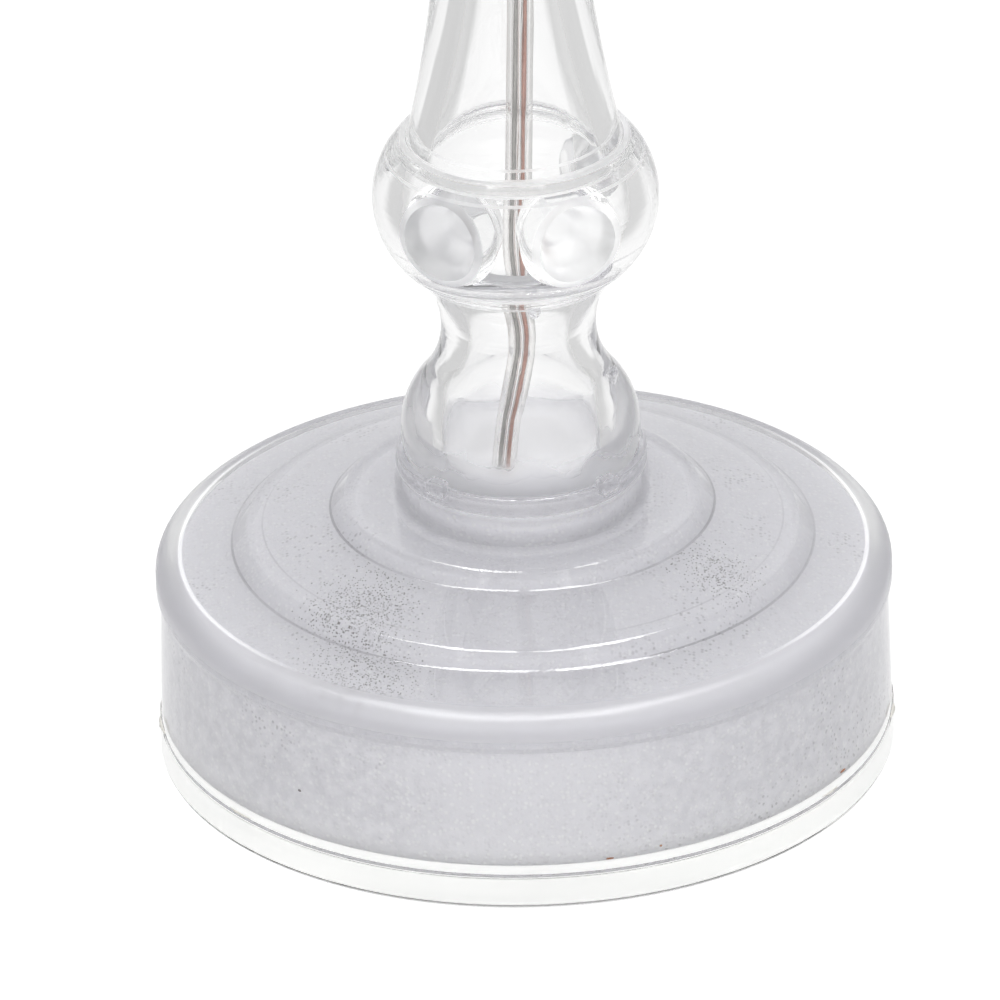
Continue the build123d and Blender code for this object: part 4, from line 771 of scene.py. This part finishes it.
PAINTED_LIGHT_BAND = band_material()
for name, profile in FOOT_BANDS:
    band = lathe([(radius * MM, height * MM) for radius, height in profile], 256)
    bmesh.ops.solidify(band, geom=band.faces[:], thickness=BAND_THICK)
    bmesh.ops.recalc_face_normals(band, faces=band.faces)
    as_piece(name, band, PAINTED_LIGHT_BAND, "base")

# %% [markdown]
# ## Wires, metal and opaque plastics
#
# The twin lead has a clear jacket over a tinned and a copper strand. The rest is inside or below the
# base, but the clear shell lets some of it show and the underside is looked at as well, so every
# piece gets a finish of its own.

# %% Lead
def wire_metal(name, pale, dark, roughness):
    """Fine twisted wires: slanting lines in colour and height."""
    material, tree, shader = new_material(name)
    lines = place_group(tree, LINES, Scale=9000.0, Stretch=14.0)
    tree.links.new(mix_colours(tree, lines.outputs["Value"], dark, pale), shader.inputs["Base Color"])
    shader.inputs["Metallic"].default_value = 1.0
    shader.inputs["Roughness"].default_value = roughness
    add_bump(tree, lines.outputs["Value"], shader, 0.03 * MM)
    return material


jacket = clear_plastic("lead_jacket", (0.93, 0.92, 0.91), (0.08, 0.18), 0.02 * MM)
tinned = wire_metal("tinned_wire", (0.5, 0.49, 0.47), (0.16, 0.155, 0.15), 0.38)
copper = wire_metal("copper_wire", (0.6, 0.31, 0.24), (0.3, 0.11, 0.075), 0.35)
dress(jacket, "lead_jacket")
dress(tinned, "tinned_conductor", "led_legs")
dress(copper, "copper_conductor")
print("lead dressed")

# %% Opaque plastics
def moulded(name, pale, dark, gloss, scale=120.0, bump=0.02):
    """Opaque moulded plastic: soft patches in colour and gloss, and a fine skin."""
    material, tree, shader = new_material(name)
    patches = place_group(tree, PATCHES, Scale=scale, Low=gloss[0], High=gloss[1])
    tone = add_noise(tree, 3 * scale, 4.0)
    tree.links.new(mix_colours(tree, tone, dark, pale), shader.inputs["Base Color"])
    tree.links.new(patches.outputs["Value"], shader.inputs["Roughness"])
    add_bump(tree, patches.outputs["Height"], shader, bump * MM)
    return material


white = moulded("white_moulding", (0.74, 0.74, 0.72), (0.66, 0.66, 0.64), (0.35, 0.5))
black = moulded("black_moulding", (0.03, 0.03, 0.032), (0.015, 0.015, 0.017), (0.35, 0.55))
foam = moulded("grey_foam", (0.12, 0.12, 0.125), (0.04, 0.04, 0.042), (0.9, 1.0), 900.0, 0.15)
red = moulded("red_insulation", (0.6, 0.05, 0.04), (0.5, 0.03, 0.03), (0.3, 0.4))
dark = moulded("black_insulation", (0.03, 0.03, 0.032), (0.018, 0.018, 0.02), (0.3, 0.4))
sand = moulded("resistor_body", (0.75, 0.62, 0.42), (0.66, 0.52, 0.33), (0.35, 0.45))
board = moulded("green_board", (0.03, 0.24, 0.1), (0.015, 0.16, 0.06), (0.25, 0.4), 300.0)
dress(white, "battery_tray", "battery_door", "led_holder", "stem_nut")
dress(black, "driver_chip", "switch_body", "switch_slider", "joint_sleeves")
dress(foam, "door_pad")
dress(red, "battery_wire_red")
dress(dark, "battery_wire_black")
dress(sand, "resistor")
dress(board, "circuit_board")
print("opaque plastics dressed")

# %% Metals
def metal(name, pale, dark, gloss):
    """Plated metal with brushed lines and uneven gloss."""
    material, tree, shader = new_material(name)
    lines = place_group(tree, LINES, Scale=1500.0, Stretch=25.0)
    tree.links.new(mix_colours(tree, lines.outputs["Value"], dark, pale), shader.inputs["Base Color"])
    patches = place_group(tree, PATCHES, Scale=200.0, Low=gloss[0], High=gloss[1])
    tree.links.new(patches.outputs["Value"], shader.inputs["Roughness"])
    shader.inputs["Metallic"].default_value = 1.0
    add_bump(tree, lines.outputs["Value"], shader, 0.01 * MM)
    return material


nickel = metal("nickel_plate", (0.72, 0.7, 0.66), (0.55, 0.53, 0.5), (0.25, 0.4))
zinc = metal("zinc_plate", (0.68, 0.7, 0.72), (0.5, 0.52, 0.54), (0.3, 0.45))
dress(nickel, "contact_plates_left", "contact_plates_right", "contact_springs", "switch_terminals")
dress(zinc, "tray_screws", "board_screws")
print("metals dressed")

# %% [markdown]
# ## Cells, candle and flame
#
# A cell is a can in a printed film; ours is plain and dark, with no words, and its tone changes a
# little by a noise over the object's coordinates. The candle's sleeve is ivory wax-like plastic, and
# the flame is a thin frosted shell that light passes.

# %% Cells
def cell_film():
    """A dark film whose tone changes a little by a noise, with uneven gloss and a clear coat."""
    material, tree, shader = new_material("cell_film")
    patches = place_group(tree, PATCHES, Scale=150.0, Low=0.15, High=0.28)
    tone = add_noise(tree, 400.0, 2.0)
    tree.links.new(mix_colours(tree, tone, (0.035, 0.04, 0.05), (0.06, 0.065, 0.08)), shader.inputs["Base Color"])
    tree.links.new(patches.outputs["Value"], shader.inputs["Roughness"])
    shader.inputs["Coat Weight"].default_value = 0.6
    return material


dress(cell_film(), "cell_front", "cell_middle", "cell_back")
print("cells dressed")

# %% Candle and flame
def waxy(name, pale, dark, radius):
    """Ivory plastic that light enters a little way."""
    material, tree, shader = new_material(name)
    patches = place_group(tree, PATCHES, Scale=80.0, Low=0.32, High=0.48)
    tone = add_noise(tree, 45.0, 5.0)
    tree.links.new(mix_colours(tree, tone, dark, pale), shader.inputs["Base Color"])
    tree.links.new(patches.outputs["Value"], shader.inputs["Roughness"])
    shader.inputs["Subsurface Weight"].default_value = 0.35
    shader.inputs["Subsurface Radius"].default_value = (radius, radius * 0.7, radius * 0.45)
    shader.inputs["Subsurface Scale"].default_value = 1.0
    add_bump(tree, patches.outputs["Height"], shader, 0.03 * MM)
    return material


sleeve = waxy("ivory_sleeve", (0.68, 0.645, 0.55), (0.62, 0.58, 0.48), 1.5 * MM)
flame = waxy("flame_shell", (0.74, 0.7, 0.6), (0.69, 0.63, 0.5), 3.0 * MM)
lens = clear_plastic("lamp_lens", (0.96, 0.93, 0.82), (0.02, 0.06), 0.01 * MM)
dress(sleeve, "candle_sleeve")
dress(flame, "flame_cover")
dress(lens, "led_lens")
print("candle dressed")

# %% [markdown]
# ## Fog and glue in the stem's foot
#
# The bulb at the stem's foot is cloudy inside, up to an uneven edge, and the lead sinks out of sight
# in that cloud. It is a thin lathed lining just inside the bulb's wall. Its alpha comes from the
# height in the object's own coordinates, pushed about by noise, so that the cloud thins out upwards.
# Two dried drops of glue sit on the outside.

# %% Fog
FOG_EDGE = 34.4 * MM
FOG_SOFT = 2.6 * MM
FOG_PAINTED_GLOW = 0.1
FOG_PROFILE = (
    (0.02, 29.9), (2.0, 29.95), (4.4, 30.2), (5.9, 30.7), (7.0, 31.7), (7.75, 33.0), (8.1, 34.2), (8.25, 36.0), (8.2, 38.0),
)


def fog_material():
    """A white cloud with a faint painted glow that thins out above an uneven edge."""
    material, tree, shader = new_material("stem_fog")
    height = tree.nodes.new("ShaderNodeSeparateXYZ")
    tree.links.new(tree.nodes.new("ShaderNodeTexCoord").outputs["Object"], height.inputs[0])
    push = add_range(tree, add_noise(tree, 110.0, 4.0), 0.3, 0.7, -0.8 * MM, 0.8 * MM)
    level = add_math(tree, "ADD", height.outputs["Z"], push)
    cloud = add_step(tree, level, FOG_EDGE - FOG_SOFT, FOG_EDGE + FOG_SOFT, 0.82, 0.0)
    tree.links.new(cloud, shader.inputs["Alpha"])
    tone = add_noise(tree, 500.0, 3.0)
    tree.links.new(mix_colours(tree, tone, (0.93, 0.93, 0.95), (0.98, 0.98, 0.99)), shader.inputs["Base Color"])
    shader.inputs["Roughness"].default_value = 0.7
    # Painted light: the cloud glows faintly.
    shader.inputs["Emission Color"].default_value = (0.97, 0.97, 1.0, 1)
    shader.inputs["Emission Strength"].default_value = FOG_PAINTED_GLOW
    return material


fog_mesh = lathe([(radius * MM, height * MM) for radius, height in FOG_PROFILE], 96)
bmesh.ops.recalc_face_normals(fog_mesh, faces=fog_mesh.faces)
fog = as_piece("stem_fog", fog_mesh, fog_material(), "base")

# %% [markdown]
# ## Specks on the frosted cover
#
# Dark grains gather at three places on the sloping top. Geometry Nodes scatter them: points are
# spread over a copy of the cover's faces, most thickly near a place and not at all beyond its reach,
# and each point gets a flattened grain of a random size. One tree serves all the places through its
# named inputs.

# %% Scatter tree
def grain_tree():
    """A Geometry Nodes tree that scatters flat grains round one place of a surface."""
    tree = bpy.data.node_groups.new("scattered_grains", "GeometryNodeTree")
    sockets = (
        ("Surface", "NodeSocketGeometry", None),
        ("Place", "NodeSocketVector", None),
        ("Reach", "NodeSocketFloat", 8 * MM),
        ("Density", "NodeSocketFloat", 3e6),
        ("Grain", "NodeSocketFloat", 0.1 * MM),
        ("Seed", "NodeSocketInt", 3),
        ("Material", "NodeSocketMaterial", None),
    )
    for label, kind, value in sockets:
        socket = tree.interface.new_socket(label, in_out="INPUT", socket_type=kind)
        if value is not None:
            socket.default_value = value
    tree.interface.new_socket("Grains", in_out="OUTPUT", socket_type="NodeSocketGeometry")
    start = tree.nodes.new("NodeGroupInput")
    distance = tree.nodes.new("ShaderNodeVectorMath")
    distance.operation = "DISTANCE"
    tree.links.new(tree.nodes.new("GeometryNodeInputPosition").outputs[0], distance.inputs[0])
    tree.links.new(start.outputs["Place"], distance.inputs[1])
    thickly = tree.nodes.new("ShaderNodeMapRange")
    tree.links.new(distance.outputs["Value"], thickly.inputs["Value"])
    tree.links.new(start.outputs["Reach"], thickly.inputs["From Max"])
    tree.links.new(start.outputs["Density"], thickly.inputs["To Min"])
    thickly.inputs["To Max"].default_value = 0.0
    points = tree.nodes.new("GeometryNodeDistributePointsOnFaces")
    tree.links.new(start.outputs["Surface"], points.inputs["Mesh"])
    tree.links.new(thickly.outputs["Result"], points.inputs["Density"])
    tree.links.new(start.outputs["Seed"], points.inputs["Seed"])
    ball = tree.nodes.new("GeometryNodeMeshIcoSphere")
    ball.inputs["Subdivisions"].default_value = 1
    tree.links.new(start.outputs["Grain"], ball.inputs["Radius"])
    size = tree.nodes.new("FunctionNodeRandomValue")
    size.inputs[2].default_value = 0.45
    size.inputs[3].default_value = 1.3
    flat = tree.nodes.new("ShaderNodeCombineXYZ")
    tree.links.new(size.outputs[1], flat.inputs["X"])
    tree.links.new(size.outputs[1], flat.inputs["Y"])
    flat.inputs["Z"].default_value = 0.5
    place = tree.nodes.new("GeometryNodeInstanceOnPoints")
    tree.links.new(points.outputs["Points"], place.inputs["Points"])
    tree.links.new(points.outputs["Rotation"], place.inputs["Rotation"])
    tree.links.new(ball.outputs["Mesh"], place.inputs["Instance"])
    tree.links.new(flat.outputs[0], place.inputs["Scale"])
    real = tree.nodes.new("GeometryNodeRealizeInstances")
    tree.links.new(place.outputs[0], real.inputs[0])
    painted = tree.nodes.new("GeometryNodeSetMaterial")
    tree.links.new(real.outputs[0], painted.inputs["Geometry"])
    tree.links.new(start.outputs["Material"], painted.inputs["Material"])
    tree.links.new(painted.outputs[0], tree.nodes.new("NodeGroupOutput").inputs[0])
    return tree


def set_input(modifier, label, value):
    """A modifier's named input, found by its socket's identifier."""
    for item in modifier.node_group.interface.items_tree:
        if item.item_type == "SOCKET" and item.in_out == "INPUT" and item.name == label:
            modifier[item.identifier] = value


GRAIN_TREE = grain_tree()
print("scatter tree nodes:", len(GRAIN_TREE.nodes))

# %% Specks
SPECK_PLACES = (
    ("specks_left", (-16.5, -17.4, 24.0), 6.5, 22.0e6),
    ("specks_front", (-17.0, -27.0, 21.0), 7.5, 17.0e6),
    ("specks_right", (19.2, -12.4, 24.0), 4.6, 22.0e6),
)
SPECK_SIZE = 0.075 * MM


def upper_faces(piece):
    """A copy of a piece's faces that look up."""
    mesh = bmesh.new()
    mesh.from_mesh(piece.data)
    low = [face for face in mesh.faces if face.normal.z < 0.5]
    bmesh.ops.delete(mesh, geom=low, context="FACES")
    data = bpy.data.meshes.new("speck_carrier")
    mesh.to_mesh(data)
    mesh.free()
    return data


def speck_material():
    """Dark grains, some more brown than others."""
    material, tree, shader = new_material("dark_specks")
    tone = add_noise(tree, 900.0, 2.0)
    tree.links.new(mix_colours(tree, tone, (0.1, 0.095, 0.095), (0.3, 0.28, 0.28)), shader.inputs["Base Color"])
    shader.inputs["Roughness"].default_value = 0.6
    return material


skin = upper_faces(coat)
specks_finish = speck_material()
for seed, (name, place, reach, density) in enumerate(SPECK_PLACES):
    carrier = bpy.data.objects.new(name, skin)
    bpy.context.scene.collection.objects.link(carrier)
    scatter = carrier.modifiers.new("scatter", "NODES")
    scatter.node_group = GRAIN_TREE
    set_input(scatter, "Place", [value * MM for value in place])
    set_input(scatter, "Reach", reach * MM)
    set_input(scatter, "Density", density)
    set_input(scatter, "Grain", SPECK_SIZE)
    set_input(scatter, "Seed", seed)
    set_input(scatter, "Material", specks_finish)
    bpy.context.view_layer.update()
    grains = bpy.data.meshes.new_from_object(carrier.evaluated_get(bpy.context.evaluated_depsgraph_get()))
    carrier.modifiers.remove(scatter)
    carrier.data = grains
    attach(carrier, "base")
    print(name, "faces:", len(grains.polygons))

# %% [markdown]
# ## Glue and moulding flash
#
# Drops of glue are half-round lumps with a noisy outline. Flash is the thin fin that is left where a
# mould closes: a few short ones stand out round the foot of the base. Both are small, but they catch
# the light at the outline, where the eye looks.

# %% Glue
GLUE_DROPS = (
    ("glue_right", (9.35, -2.2, 42.0), 1.0),
    ("glue_front", (1.6, -10.35, 53.6), 0.75),
)


def glue_drop(name, place, radius, material):
    """A flattened lump with an uneven skin."""
    mesh = bmesh.new()
    bmesh.ops.create_icosphere(mesh, subdivisions=4, radius=radius * MM)
    outward = Vector((place[0], place[1], 0)).normalized()
    for vert in mesh.verts:
        along = outward * vert.co.dot(outward)
        lump = 1 + 0.25 * noise.noise(vert.co / (0.5 * MM))
        vert.co = (vert.co - 0.45 * along) * lump + Vector(place) * MM
    return as_piece(name, mesh, material, "base")


glue_clear = clear_plastic("dried_glue", (0.9, 0.9, 0.92), (0.1, 0.25), 0.05 * MM)
drops = [glue_drop(*drop, glue_clear) for drop in GLUE_DROPS]
print("glue drops:", len(drops))

# %% Flash
FLASH_FINS = ((-172.0, 6.0, 4.6), (-8.0, 5.0, 4.4), (-36.0, 4.0, 4.3), (-141.0, 5.0, 4.2))
FLASH_OUT = 0.35 * MM
FLASH_THICK = 0.12 * MM
FLASH_STEPS = 24


def flash_fin(mesh, turn, width, height):
    """A crescent fin round part of the base's seam."""
    inner, outer = [], []
    for step in range(FLASH_STEPS + 1):
        share = step / FLASH_STEPS
        angle = math.radians(turn + (share - 0.5) * width)
        way = Vector((math.cos(angle), math.sin(angle), 0))
        ragged = 0.7 + 0.3 * noise.noise(Vector((turn, 9 * share, height)))
        reach = FLASH_OUT * math.sin(math.pi * share) * ragged
        foot = way * 37.53 * MM + Vector((0, 0, height * MM))
        inner.append(mesh.verts.new(foot))
        outer.append(mesh.verts.new(foot + way * (reach + 0.1 * MM)))
    for step in range(FLASH_STEPS):
        mesh.faces.new((inner[step], inner[step + 1], outer[step + 1], outer[step]))


flash_mesh = bmesh.new()
for fin in FLASH_FINS:
    flash_fin(flash_mesh, *fin)
bmesh.ops.solidify(flash_mesh, geom=flash_mesh.faces[:], thickness=FLASH_THICK)
bmesh.ops.recalc_face_normals(flash_mesh, faces=flash_mesh.faces)
flash_pale, flash_tree, flash_shader = new_material("flash_pale")
flash_tree.links.new(
    mix_colours(flash_tree, add_noise(flash_tree, 700.0, 2.0), (0.42, 0.41, 0.38), (0.75, 0.74, 0.72)),
    flash_shader.inputs["Base Color"],
)
flash_shader.inputs["Roughness"].default_value = 0.5
# Painted light: the flash glows faintly, so that it doesn't turn dark.
flash_shader.inputs["Emission Color"].default_value = (0.9, 0.9, 0.88, 1)
flash_shader.inputs["Emission Strength"].default_value = 0.35
flash = as_piece("mould_flash", flash_mesh, flash_pale, "base")

# %% Dirt
DIRT = (
    ((7.9, 5.1), (0.42, 0.1), (0.2, 0.09, 0.05)),
    ((13.1, 5.6), (0.14, 0.12), (0.25, 0.13, 0.08)),
    ((31.8, 5.4), (0.5, 0.12), (0.24, 0.1, 0.05)),
    ((-23.1, 9.8), (0.2, 0.14), (0.14, 0.13, 0.13)),
)
DIRT_DEEP = 0.06 * MM
WALL_R = 37.42 * MM


def dirt_mark(index, place, size, colour):
    """A tiny flat crumb that lies on the base's wall."""
    turn = math.asin(place[0] * MM / WALL_R)
    way = Vector((math.sin(turn), -math.cos(turn), 0))
    side = Vector((way.y, -way.x, 0))
    mesh = bmesh.new()
    bmesh.ops.create_icosphere(mesh, subdivisions=3, radius=1.0)
    for vert in mesh.verts:
        lump = 1 + 0.35 * noise.noise(1.4 * vert.co + Vector((3 * index, 0, 0)))
        flat = side * vert.co.x * size[0] * MM + Vector((0, 0, vert.co.z * size[1] * MM))
        vert.co = flat * lump + way * (WALL_R + vert.co.y * DIRT_DEEP) + Vector((0, 0, place[1] * MM))
    material, tree, shader = new_material("dirt_%d" % index)
    pale = tuple(1.5 * part for part in colour)
    tree.links.new(mix_colours(tree, add_noise(tree, 1500.0, 2.0), colour, pale), shader.inputs["Base Color"])
    shader.inputs["Roughness"].default_value = 0.7
    return as_piece("dirt_%d" % index, mesh, material, "base")


marks = [dirt_mark(index, *mark) for index, mark in enumerate(DIRT)]
print("dirt marks:", len(marks))
